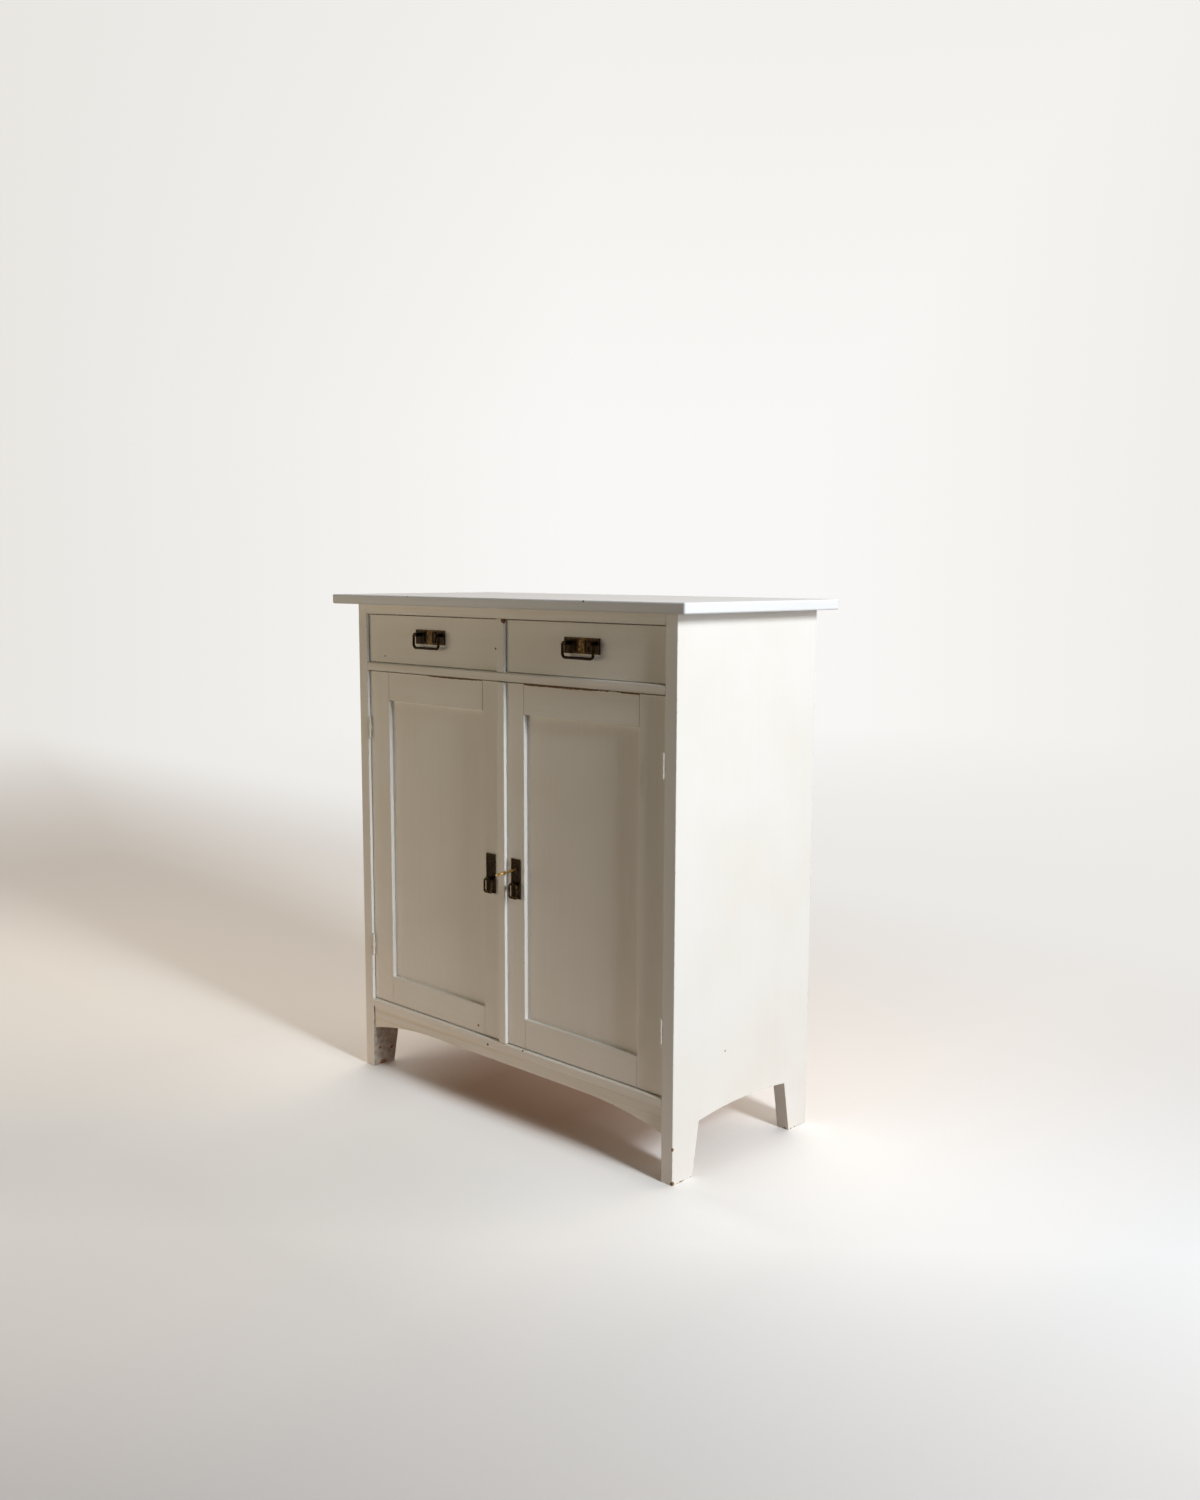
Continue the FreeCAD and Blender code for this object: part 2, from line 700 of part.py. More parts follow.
def hinges():
    """Four butt hinges; the right pair mirrors the left."""
    pair = [hinge("upper_hinge", "upper_hinge_z"), hinge("lower_hinge", "lower_hinge_z")]
    for kind in ("frame", "door"):
        leaves = group(f"left_hinge_{kind}_leaves", [one[kind + "_leaf"] for one in pair])
        keep_pair(leaves, f"right_hinge_{kind}_leaves")
    left_pins = group("left_pins", [one["pin"] for one in pair])
    keep(group("hinge_pins", [left_pins, mirrored("right_pins", left_pins)]))
    left_screws = group("left_frame_screws", [item for one in pair for item in one["frame_screws"]])
    keep(group("frame_hinge_screws", [left_screws, mirrored("right_frame_screws", left_screws)]))
    door_screws = keep(group("left_door_screws", [item for one in pair for item in one["door_screws"]]))
    lock_screws = [screw("lock_screw", spot, "front") for spot in lock_screw_spots()]
    keep(group("right_door_screws", [mirrored("right_leaf_screws", door_screws), *lock_screws]))
    side_cuts = [item for one in pair for item in one["side_cuts"]]
    stile_cuts = [item for one in pair for item in one["stile_cuts"]]
    return side_cuts, stile_cuts


def sides(cuts):
    """Both sides: one wide board each, with its foot arch sawn out of the lower end."""
    board = sawn_board("side_outline", "YZ_Plane", [
        ("0", "0", None),
        ("foot_depth", "0", None),
        ("arch_front", "arch_spring_height", "arch_radius"),
        ("arch_back", "arch_spring_height", None),
        ("rear_foot_front", "0", None),
        ("carcass_depth", "0", None),
        ("carcass_depth", "carcass_height", None),
        ("0", "carcass_height", None),
    ], "side_thickness", ("-half_width", "front_y", "0"))
    rebate = box("back_rebate_cut", ("back_rebate", "back_thickness", "back_height"),
                 ("-inner_half - back_rebate", "inside_back_y", "bottom_height"))
    keep_pair(cut("left_side", front_bevelled("side_bevelled", board), rebate, *cuts), "right_side")


def top():
    """The top board, rounded along its front and its ends."""
    blank = box("top_blank",
                ("carcass_width + 2 * top_side_overhang",
                 "carcass_depth + top_front_overhang + top_back_overhang", "top_thickness"),
                ("-half_width - top_side_overhang", "front_y - top_front_overhang", "carcass_height"))
    doc.recompute()
    back = blank.Shape.BoundBox.YMax

    def not_at_back(edge):
        return any(abs(corner.Y - back) > TOUCH for corner in edge.Vertexes)
    keep(eased("top_board", blank, "Fillet", "top_rounding", not_at_back))


def back_and_shelf():
    boards = []
    for index in range(BACK_BOARDS):
        left = f"-inner_half - back_rebate + back_board_pitch * {index} / {BACK_BOARDS} + back_board_gap / 2"
        size = (f"back_board_pitch / {BACK_BOARDS} - back_board_gap", "back_thickness", "back_height")
        boards.append(box(f"back_board_{index}", size, (left, "inside_back_y", "bottom_height")))
    keep(group("back_boards", boards))

    shelf = box("shelf_blank", ("2 * (inner_half - shelf_play)", "shelf_depth", "board_thickness"),
                ("shelf_play - inner_half", "shelf_y", "shelf_z"))
    keep(front_bevelled("shelf", shelf))
    cleat = box("left_cleat", ("cleat_width", "shelf_depth", "cleat_height"),
                ("-inner_half", "shelf_y", "shelf_z - cleat_height"))
    keep(group("shelf_cleats", [cleat, mirrored("right_cleat", cleat)]))


def apron():
    """The board under the doors, its lower edge sawn to a flat arch."""
    board = sawn_board("apron", "XZ_Plane", [
        ("0", "apron_end_z", "apron_radius"),
        ("apron_flank", "apron_arch_z", None),
        ("apron_flat_end", "apron_arch_z", "apron_radius"),
        ("apron_width", "apron_end_z", None),
        ("apron_width", "bottom_height", None),
        ("0", "bottom_height", None),
    ], "apron_thickness", ("-inner_half", "front_y + apron_setback", "0"))
    board.Label = "front_apron"
    keep(board)


def drawer_frame():
    """The divider between the drawers and the runners under them."""
    divider = box("divider_blank",
                  ("divider_width", "inside_depth - rear_rail_depth", "drawer_opening_height"),
                  ("-divider_width / 2", "front_y", "mid_top"))
    keep(front_bevelled("drawer_divider", divider))
    runner = box("left_runner", ("runner_width", "runner_length", "board_thickness"),
                 ("-inner_half", "runner_y", "mid_z"))
    keep(group("side_runners", [runner, mirrored("right_runner", runner)]))
    keep(box("centre_runner", ("centre_runner_width", "runner_length", "board_thickness"),
             ("-centre_runner_width / 2", "runner_y", "mid_z")))


def stile(name, left, width, groove_left, cuts=()):
    """An upright of a door, as tall as the door, with the panel groove in its inner edge."""
    board = box(name + "_board", (width, "door_thickness", "door_height"), (left, "face_y", "door_bottom"))
    groove = box(name + "_groove", ("groove_depth", "panel_thickness", "door_height"),
                 (groove_left, "panel_y", "door_bottom"))
    return cut(name, front_bevelled(name + "_bevelled", board), groove, *cuts)


def door_rail(name, left, right, z, groove_z):
    """A cross piece of a door, tongued into the stiles' grooves."""
    width = f"{right} - {left}"
    board = box(name + "_board", (width, "door_thickness", "door_rail_width"), (left, "face_y", z))
    tongue_size = ("groove_depth", "panel_thickness", "door_rail_width")
    left_tongue = box(name + "_left_tongue", tongue_size, (f"{left} - groove_depth", "panel_y", z))
    right_tongue = box(name + "_right_tongue", tongue_size, (right, "panel_y", z))
    groove = box(name + "_groove", (f"{width} + 2 * groove_depth", "panel_thickness", "groove_depth"),
                 (f"{left} - groove_depth", "panel_y", groove_z))
    rail = fuse(name + "_tongued", front_bevelled(name + "_bevelled", board), left_tongue, right_tongue)
    keep(cut(name, rail, groove))


def rails_and_panel(side, left, right):
    """The two rails of a door and the panel that is held in the grooves."""
    top_z = "door_top - door_rail_width"
    door_rail(f"{side}_door_top_rail", left, right, top_z, top_z)
    door_rail(f"{side}_door_bottom_rail", left, right, "door_bottom", "panel_z - groove_depth")
    size = (f"{right} - {left} + 2 * panel_edge", "panel_thickness", "panel_height + 2 * panel_edge")
    keep(box(f"{side}_door_panel", size, (f"{left} - panel_edge", "panel_y", "panel_z - panel_edge")))


def doors(hinge_cuts):
    """Two framed doors; the right one carries the strip that covers the meeting stiles' edges."""
    left_hinge = stile("left_hinge_stile", "-door_edge", "hinge_stile_width",
                       "-hinge_sight - groove_depth", hinge_cuts)
    keep_pair(left_hinge, "right_hinge_stile")
    keep(stile("left_meeting_stile", "left_sight", "left_meeting_stile_width", "left_sight"))
    bore = rod("key_bore", "key_bore_radius", "door_thickness",
               ("door_plate_x", "face_y", "key_hole_z"), "back")
    slot = box("key_slot", ("keyhole_slot_width", "door_thickness", "key_bit_reach"),
               ("key_slot_x", "face_y", "key_slot_z"))
    screw_holes = [screw_hole("lock_hole", spot, "front") for spot in lock_screw_spots()]
    keep(stile("right_meeting_stile", "meeting_x", "right_meeting_stile_width",
               "right_sight - groove_depth", [bore, slot, *screw_holes]))
    rails_and_panel("left", "-hinge_sight", "left_sight")
    rails_and_panel("right", "right_sight", "hinge_sight")
    strip = box("strip_blank", ("strip_width", "strip_thickness", "door_top - strip_z"),
                ("meeting_x", "strip_y", "strip_z"))
    keep(front_rounded("meeting_strip", strip, "strip_rounding", "strip_width"))


def rimmed_plate(name, width, height, left, low):
    """A thin plate with a raised rim."""
    sheet = box(name + "_sheet", (width, "plate_thickness", height), (left, "plate_y", low))
    rim = box(name + "_rim", (width, "rim_depth", height), (left, "rim_y", low))
    field = box(name + "_field", (f"{width} - 2 * plate_rim", "rim_depth", f"{height} - 2 * plate_rim"),
                (f"{left} + plate_rim", "rim_y", f"{low} + plate_rim"))
    return sheet, cut(name + "_frame", rim, field)


def door_plates():
    """The two door plates, pierced at the top, each with the lug that its bail hangs from."""
    sheet, rim = rimmed_plate(
        "door_plate", "door_plate_width", "door_plate_height", "door_plate_left", "door_plate_low")
    lug = box("lug", ("lug_width", "plate_y - door_bail_y + lug_nose", "lug_height"),
              ("lug_left", "door_bail_y - lug_nose", "door_bail_z - lug_height / 2"))
    eye = rod("lug_eye", "door_bail_wire + running_play", "lug_width",
              ("lug_left", "door_bail_y", "door_bail_z"), "right")
    pierced = []
    for row in range(PIERCED_ROWS):
        for column in range(PIERCED_COLUMNS):
            steps = column - (PIERCED_COLUMNS - 1) / 2
            spot = (f"-door_plate_x + {steps} * pierced_hole_pitch", "plate_y",
                    f"pierced_z - {row} * pierced_hole_pitch")
            pierced.append(rod("pierced_hole", "pierced_hole_radius", "plate_thickness", spot, "back"))
    left_plate = keep(cut("left_door_plate", fuse("door_plate_rimmed", sheet, rim, lug), eye, *pierced))
    hole = rod("keyhole", "keyhole_radius", "plate_thickness",
               ("door_plate_x", "plate_y", "key_hole_z"), "back")
    slot = box("keyhole_slot", ("keyhole_slot_width", "plate_thickness", "key_bit_reach"),
               ("key_slot_x", "plate_y", "key_slot_z"))
    keep(cut("right_door_plate", mirrored("right_plate_blank", left_plate), hole, slot))

    bail = bent_wire("left_door_bail", [
        ("0", "0", None),
        ("bail_top_end", "0", "door_bail_shoulder"),
        ("bail_side", "bail_side_top", None),
        ("bail_side", "bail_side_low", "door_bail_corner"),
        ("bail_low_end", "bail_low", None),
        ("bail_low_start", "bail_low", "door_bail_corner"),
        ("bail_far_side", "bail_side_low", None),
        ("bail_far_side", "bail_side_top", "door_bail_shoulder"),
        ("bail_top_start", "0", None),
    ], "door_bail_wire", ("-door_plate_x", "door_bail_y", "door_bail_z"), closed=True)
    keep_pair(bail, "right_door_bail")


def lock_screw_spots():
    """The heads of the four screws through the lock's flanges."""
    near = "lock_x + lock_flange_height / 2"
    far = "lock_x + lock_width - lock_flange_height / 2"
    rows = ("lock_low - lock_flange_height / 2", "lock_high + lock_flange_height / 2")
    return [(x, "door_back_y + lock_wall", z) for x in (near, far) for z in rows]


def lock():
    """A rim lock on the back of the right door, and its bolt, drawn back."""
    flange_size = ("lock_width", "lock_wall", "lock_flange_height")
    pan = box("lock_pan", ("lock_width", "lock_depth", "lock_height"), ("lock_x", "door_back_y", "lock_low"))
    low_flange = box("low_flange", flange_size, ("lock_x", "door_back_y", "lock_low - lock_flange_height"))
    high_flange = box("high_flange", flange_size, ("lock_x", "door_back_y", "lock_high"))
    hollow = box("lock_hollow",
                 ("lock_width - 2 * lock_wall", "lock_depth - lock_wall", "lock_height - 2 * lock_wall"),
                 ("lock_x + lock_wall", "door_back_y", "lock_low + lock_wall"))
    mouth = box("lock_mouth",
                ("lock_wall", "lock_bolt_thickness + 2 * key_play", "lock_bolt_height + 2 * key_play"),
                ("lock_x", "lock_bolt_y - key_play", "lock_bolt_z - key_play"))
    holes = [screw_hole("lock_case_hole", spot, "front") for spot in lock_screw_spots()]
    keep(cut("lock_case", fuse("lock_blank", pan, low_flange, high_flange), hollow, mouth, *holes))

    bar = box("lock_bolt_bar", ("lock_bolt_length", "lock_bolt_thickness", "lock_bolt_height"),
              ("lock_x", "lock_bolt_y", "lock_bolt_z"))
    notch = box("lock_bolt_notch",
                ("2 * lock_notch_half", "lock_bolt_thickness", "lock_bite + lock_notch_room"),
                ("lock_notch_x", "lock_bolt_y", "lock_bolt_z"))
    keep(cut("lock_bolt", bar, notch))


def key():
    """The key, standing in the lock with its bow a little askew; it droops in the worn keyhole."""
    shank = rod("key_shank", "key_shank_radius", "key_tip - collar_y", ("0", "collar_y", "0"), "back")
    collar = rod("key_collar", "key_collar_radius", "key_collar_length", ("0", "collar_y", "0"), "back")
    roll = Rotation(Vector(0, -1, 0), number("key_bow_roll"))
    bow = place(doc.addObject("Part::Torus", "key_bow"), ("0", "bow_y", "0"), roll)
    bind(bow, Radius1="key_bow_radius", Radius2="key_bow_wire")
    bit = box("key_bit", ("key_bit_reach", "key_bit_length", "key_bit_thickness"),
              ("0", "-key_bit_length / 2", "-key_bit_thickness / 2"))
    droop = Rotation(Vector(1, 0, 0), number("key_droop"))
    keep(place(fuse("key", shank, collar, bow, bit), ("door_plate_x", "key_y", "key_z"), droop))


def slide_bolts():
    """The upper and lower bolts inside the left door, drawn back, and the guides that they slide in."""
    guides = []
    for name, low in (("upper", "upper_slide_z"), ("lower", "lower_slide_z")):
        centre = f"{low} + slide_bolt_length / 2"
        bar = rod(name + "_bar", "slide_bolt_radius", "slide_bolt_length", ("slide_x", "slide_y", low))
        knob = rod(name + "_knob", "slide_knob_radius", "slide_knob_length",
                   ("slide_x", "slide_y", centre), "back")
        keep(fuse(name + "_bolt", bar, knob))
        for side in ("-", "+"):
            z = f"{centre} {side} guide_spacing / 2 - guide_height / 2"
            block = box(name + "_guide_block", ("guide_width", "guide_depth", "guide_height"),
                        ("slide_x - guide_width / 2", "door_back_y", z))
            bore = rod(name + "_guide_bore", "slide_bolt_radius + running_play", "guide_height",
                       ("slide_x", "slide_y", z))
            guides.append(cut(name + "_guide", block, bore))
    keep(group("bolt_guides", guides))


def drawer_boxes():
    """The left drawer's five boards; the right drawer mirrors them."""
    side_size = ("drawer_side_thickness", "drawer_end_y - drawer_side_y", "drawer_side_height")
    lap_size = ("drawer_side_thickness + drawer_play", "drawer_lap", "drawer_side_height")
    left_at = ("drawer_left", "drawer_side_y", "drawer_z")
    right_at = ("drawer_inner_right", "drawer_side_y", "drawer_z")
    groove = box("drawer_groove_cut",
                 ("drawer_groove_width", "drawer_groove_depth", "drawer_bottom_thickness"),
                 ("drawer_groove_left", "drawer_groove_y", "drawer_floor_z"))

    front = box("front_board", ("drawer_front_width", "drawer_front_thickness", "drawer_front_height"),
                ("drawer_front_left", "face_y", "drawer_front_z"))
    laps = [
        box("left_lap", lap_size, ("-inner_half", "drawer_side_y", "drawer_z")),
        box("right_lap", lap_size, right_at),
    ]
    holes = [
        rod("pull_hole", "post_shank_radius + running_play", "drawer_front_thickness",
            (f"drawer_centre {side} post_half", "face_y", "bail_pivot_z"), "back")
        for side in ("-", "+")
    ]
    bevelled = front_bevelled("front_bevelled", front)
    keep_pair(cut("left_drawer_front", bevelled, *laps, groove, *holes), "right_drawer_front")
    outer_side = cut("left_drawer_left_side", box("outer_side_board", side_size, left_at), groove)
    keep_pair(outer_side, "right_drawer_right_side")
    inner_side = cut("left_drawer_right_side", box("inner_side_board", side_size, right_at), groove)
    keep_pair(inner_side, "right_drawer_left_side")
    back = box("left_drawer_back",
               ("drawer_inner_right - drawer_inner_left", "drawer_side_thickness", "drawer_back_height"),
               ("drawer_inner_left", "drawer_back_y", "drawer_floor_top"))
    keep_pair(back, "right_drawer_back")
    floor = box("left_drawer_bottom",
                ("drawer_groove_width - 2 * drawer_bottom_play", "drawer_groove_depth - drawer_bottom_play",
                 "drawer_bottom_thickness"),
                ("drawer_groove_left + drawer_bottom_play", "drawer_groove_y + drawer_bottom_play",
                 "drawer_floor_z"))
    keep_pair(floor, "right_drawer_bottom")


def pull_plate():
    """The stamped plate of a drawer pull: a rim, a raised middle field and a bead on each side of it."""
    sheet, rim = rimmed_plate("pull_plate", "pull_plate_width", "pull_plate_height", "pull_left", "pull_low")
    field = box("pull_field", ("pull_field_width", "pull_field_rise", "pull_field_height"),
                ("drawer_centre - pull_field_width / 2", "plate_y - pull_field_rise", "pull_field_low"))
    beads = []
    holes = []
    for side in ("-", "+"):
        beads.append(rod("pull_bead", "pull_bead_radius", "pull_field_height",
                         (f"drawer_centre {side} pull_bead_offset", "plate_y", "pull_field_low")))
        holes.append(rod("plate_hole", "post_shank_radius + running_play", "plate_thickness",
                         (f"drawer_centre {side} post_half", "plate_y", "bail_pivot_z"), "back"))
    behind = box("behind_plate", ("pull_plate_width", "drawer_front_thickness", "pull_plate_height"),
                 ("pull_left", "face_y", "pull_low"))
    raised = fuse("pull_raised", sheet, rim, front_bevelled("pull_field_bevelled", field), *beads)
    keep_pair(cut("left_drawer_plate", raised, behind, *holes), "right_drawer_plate")


def pull_bolts():
    """The two posts that carry a bail, each a bolt through the drawer front with a square nut inside."""
    bolts = []
    for name, side in (("left", "-"), ("right", "+")):
        x = f"drawer_centre {side} post_half"
        post = rod("post_" + name, "post_radius", "post_length",
                   (x, "bail_y - post_nose", "bail_pivot_z"), "back")
        shank = rod("post_shank_" + name, "post_shank_radius", "post_shank_length",
                    (x, "plate_y", "bail_pivot_z"), "back")
        eye = rod("post_eye_" + name, "bail_wire + running_play", "2 * post_radius",
                  (f"{x} - post_radius", "bail_y", "bail_pivot_z"), "right")
        bolts.append(cut("post_bolt_" + name, fuse("post_blank_" + name, post, shank), eye))
        nut = doc.addObject("Part::Prism", "nut_blank_" + name)
        nut.Polygon = NUT_SIDES
        bind(nut, Circumradius="nut_circumradius", Height="nut_height")
        place(nut, (x, "drawer_front_back", "bail_pivot_z"), POINTING["back"])
        thread = rod("nut_thread_" + name, "post_shank_radius + running_play", "nut_height",
                     (x, "drawer_front_back", "bail_pivot_z"), "back")
        bolts.append(cut("nut_" + name, nut, thread))
    keep_pair(group("left_drawer_pull_bolts", bolts), "right_drawer_pull_bolts")


def pull_bail():
    """The swinging handle: a wire whose turned-in ends sit in the posts' eyes."""
    bail = bent_wire("left_drawer_bail", [
        ("0", "0", None),
        ("pin_end", "0", "bail_shoulder"),
        ("pin_length", "arm_top", None),
        ("pin_length", "arm_low", "bail_corner"),
        ("bar_end", "bar_low", None),
        ("bar_start", "bar_low", "bail_corner"),
        ("far_arm", "arm_low", None),
        ("far_arm", "arm_top", "bail_shoulder"),
        ("far_pin", "0", None),
        ("far_pin_end", "0", None),
    ], "bail_wire", ("pin_start_x", "bail_y", "bail_pivot_z"))
    keep_pair(bail, "right_drawer_bail")


def write_parts():
    """Writes every finished piece once nothing in the document has failed."""
    doc.recompute()
    for item in doc.Objects:
        if "Invalid" in item.State or "Error" in item.State:
            raise RuntimeError(f"{item.Label} failed: {item.State}")
    for item in nodes:
        if item.Shape.isNull() or not item.Shape.isValid() or not item.Shape.Solids:
            raise RuntimeError(f"{item.Label} has no valid solid")
    os.makedirs("parts", exist_ok=True)
    for item in nodes:
        item.Shape.exportStep(f"parts/{item.Label}.step")
    print(len(nodes), "pieces written")


fill_sheets()
housing_cuts = cross_boards()
side_hinge_cuts, door_hinge_cuts = hinges()
sides(housing_cuts + side_hinge_cuts)
top()
back_and_shelf()
apron()
drawer_frame()
doors(door_hinge_cuts)
door_plates()
lock()
key()
slide_bolts()
drawer_boxes()
pull_plate()
pull_bolts()
pull_bail()
write_parts()
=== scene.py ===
"""Looks of a white-painted linen cupboard with two drawers, two doors and dark brass pulls."""
import math

import bmesh
import bpy
from mathutils import Matrix, Vector


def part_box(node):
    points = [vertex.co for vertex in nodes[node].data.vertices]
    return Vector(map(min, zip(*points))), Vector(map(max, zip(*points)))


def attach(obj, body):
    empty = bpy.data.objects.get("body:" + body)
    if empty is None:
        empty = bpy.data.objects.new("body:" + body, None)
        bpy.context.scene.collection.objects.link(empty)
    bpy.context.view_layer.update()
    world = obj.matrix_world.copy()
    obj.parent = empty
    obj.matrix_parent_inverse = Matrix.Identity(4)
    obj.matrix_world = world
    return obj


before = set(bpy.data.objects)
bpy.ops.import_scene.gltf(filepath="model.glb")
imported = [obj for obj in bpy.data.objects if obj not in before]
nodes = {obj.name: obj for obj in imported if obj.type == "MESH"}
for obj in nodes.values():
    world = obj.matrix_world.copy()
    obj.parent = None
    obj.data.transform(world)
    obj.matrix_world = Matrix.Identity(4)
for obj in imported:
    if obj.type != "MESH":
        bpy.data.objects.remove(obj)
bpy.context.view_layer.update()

# Axes of the frame and directions of the grain: along the front, front to back, and upright
ALONG, DEEP, UPRIGHT = 0, 1, 2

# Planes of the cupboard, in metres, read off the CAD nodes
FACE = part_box("left_drawer_front")[0][DEEP]
DOOR_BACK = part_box("left_hinge_stile")[1][DEEP]
PANEL_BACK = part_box("left_door_panel")[1][DEEP]
APRON_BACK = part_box("front_apron")[1][DEEP]
CARCASS_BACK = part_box("back_boards")[1][DEEP]
SIDE_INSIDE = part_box("right_side")[0][ALONG]
BOTTOM_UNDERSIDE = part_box("bottom_board")[0][UPRIGHT]

# Pulls, in metres: thickness of a door plate, its pins' rise above its foot, and half the width of
# the raised field of a drawer plate
PLATE_THICKNESS = 0.0018
PIN_RISES = (0.00415, 0.04745)
PIN_RADIUS = 0.0015
FIELD_HALF = 0.0085

# Nails of the back, in metres: shares of a board's width, and the pieces that they go into, each
# with the share of its height
BACK_BOARDS = 6
NAIL_RADIUS = 0.0028
NAIL_SUNK = 0.0001
NAIL_SHARES = (0.22, 0.78)
NAILED = (("bottom_board", 0.5), ("shelf", 0.5), ("top_rear_rail", 0.4))

# Height of a pin's or a nail's head, in metres
HEAD_HEIGHT = 0.0008

# Chips in the paint, in millimetres: place, radius and, for one along the front, half its length
CHIPS = {
    "left_side": [(-470, -187, 43, 3.5), (-470, -150, 36, 4.5), (-470, -177, 3, 9)],
    "right_side": [(500, -204, 75, 3.6), (500, -204, 2, 6.5), (500, -41, 238, 2)],
    "top": [(-266, -243, 1157, 2), (287, -243, 1156, 2.4),
            (-330, -243, 1158, 1.2, 190), (120, -243, 1158, 1.3, 260)],
    "cross_boards": [(-49, -204, 158, 3), (65, -204, 172, 2.5)],
    "apron": [(-134, -200, 122, 2)],
    "divider": [(11, -204, 1110, 7)],
    "door_rails": [(-88, -197, 192, 3), (150, -197, 977, 3.2, 165),
                   (395, -197, 977, 2.4, 60), (-160, -197, 977, 2.6, 95)],
    "drawer_fronts": [(-22, -197, 1048, 2.5), (-409, -197, 1015, 2)],
}

# Patterns, in millimetres: width across the grain and length along it, or one size. The fibres,
# the furrows of the brush and the scratches are drawn coarser than real ones, so that they show
PINE_FIGURE = (70, 1100)
PINE_FIBRE = (0.9, 60)
PINE_PATCH = 190
PAINT_STROKE = (9, 420)
PAINT_FURROW = (2.2, 190)
PAINT_PATCH = 230
PAINT_RAGGED = 11
IRON_LUMP = 4
BRASS_SPOT = 5
KEY_SPOT = 3.5
KEY_SCRATCH = (0.35, 14)
STEEL_BLOOM = 12

# Rings that the figure of the pine is cut into, and how high a foot is scuffed, in metres
PINE_RINGS = 26.0
SCUFF_HEIGHT = 0.016

EARLY_WOOD = "#B98D57"
LATE_WOOD = "#8B5E34"
FIBRE_WOOD = "#7A5430"
AGED_WOOD = "#8A6A45"
RUBBED_WOOD = "#A98458"
CHIPPED_WOOD = "#5B3A20"

# Paint, and its yellowed patches
WHITES = ("#ECE9E2", "#E7E2D7")
# The top's paint is a cooler white, a painted bluish sheen of the pale room reflected on it
COOL_SHEEN_WHITES = ("#E8EAEC", "#E3E4E2")
HINGE_WHITES = ("#E9E3D8", "#D8CFBD")
STROKE_YELLOW = "#D6C7A6"
FURROW_GREY = "#CFC8BB"
# Darker paint on the insides of the feet: partly soiled, partly painted shade under the cupboard
GRIME_AND_SHADE = "#7A6A58"

DARK_IRON = "#4A3B2E"
TARNISH = "#0C0905"
PLATE_BRASS = "#2A1C0B"
FIELD_BRASS = "#5F4A28"
DROP_BRASS = "#6E5229"
BAIL_BRASS = "#33230E"
HANDLED_BRASS = "#8F6E3C"
KEY_BRASS = "#D0A964"
KEY_TARNISH = "#4E3B1E"
STEEL = "#8A857E"
RUST = "#5B4030"
HANDLED_STEEL = "#B5B0A8"

FLOOR = "#F8F7F4"
# Painted shade on the floor: greyer aside and nearer the camera
FLOOR_SHADED_ASIDE = "#DEE1E3"
FLOOR_SHADED_NEAR = "#C5C4C3"
# A warm painted shadow on the floor under the cupboard
FLOOR_SHADOW_UNDER = "#D0BCAC"
FLOOR_GLOW = "#F6E2D6"
BACKDROP = "#F9F8F6"
# Painted shade of the sweep: at its edges, to the left and near its foot
BACKDROP_SHADED_EDGE = "#EEECE8"
BACKDROP_SHADE = "#E7E4DF"
BACKDROP_SHADED_FOOT = "#ECEAE7"
WALL_LIGHT = "#FFF2E6"

# Places on the floor, in metres: axis, where the place ends and where it is full
# Where painted shade greys the floor to the right and left
SHADED_TO_RIGHT = ((ALONG, 0.5, 1.3),)
SHADED_TO_LEFT = ((ALONG, 0.2, -0.6), (DEEP, -0.4, -1.1))
# Where the painted shadow lies under the cupboard
SHADOW_UNDERNEATH = ((ALONG, -0.42, -0.2), (ALONG, 0.42, 0.1), (DEEP, -0.24, -0.15), (DEEP, 0.3, 0.2))
BESIDE = ((ALONG, 0.45, 0.6), (DEEP, -0.3, -0.2))
BY_FOOT = ((ALONG, 0.44, 0.5), (ALONG, 0.8, 0.6), (DEEP, -0.25, -0.1), (DEEP, 0.3, 0.2))
# The strip before the doors, where painted light brightens the floor
PAINTED_LIGHT_STRIP = ((ALONG, -0.9, -0.2), (ALONG, 0.85, 0.4), (DEEP, -0.9, -0.35), (DEEP, -0.19, -0.25))
FAR_LEFT = ((ALONG, -1.5, -3.0), (DEEP, -0.4, -1.2))

# The middle of the floor before the doors, the way in which painted shade darkens the floor
# towards the camera, and how much painted light brightens the strip before the cupboard
BEFORE_DOORS = (-0.15, -0.45, 0.0)
SHADED_NEARER = (0.66, -0.75, 0.0)
PAINTED_FLOOR_LIGHT = 0.17

# The bright wall: its direction and its strength
WALL = Vector((-0.2, 1.0, 0.35)).normalized()
WALL_STRENGTH = 2.3

# Colours of the lamps
COOL = (0.87, 0.92, 0.98)
LOW_COOL = (0.88, 0.92, 0.96)
WARM = (1.0, 0.84, 0.6)

# The camera: place in metres, angles in radians, lens and picture height in millimetres, and the
# level direction to the right in its picture
CAMERA = (2.2106, -2.2047, 1.2172)
CAMERA_TURN = 0.76304
CAMERA_DIP = 0.12915
CAMERA_ROLL = 0.00319
CAMERA_LENS = 33.286
PICTURE_HEIGHT = 36
RIGHTWARD = (math.cos(CAMERA_TURN), math.sin(CAMERA_TURN), 0.0)


def linear(colour):
    """An sRGB hex colour as the linear values that a socket takes."""
    parts = [int(colour[i:i + 2], 16) / 255 for i in (1, 3, 5)]
    return [p / 12.92 if p <= 0.04045 else ((p + 0.055) / 1.055) ** 2.4 for p in parts] + [1.0]


def fill(tree, node, inputs):
    """Gives each named input a value, or joins it to another node's output."""
    for name, value in inputs.items():
        if isinstance(value, bpy.types.NodeSocket):
            tree.links.new(value, node.inputs[name])
        else:
            node.inputs[name].default_value = value


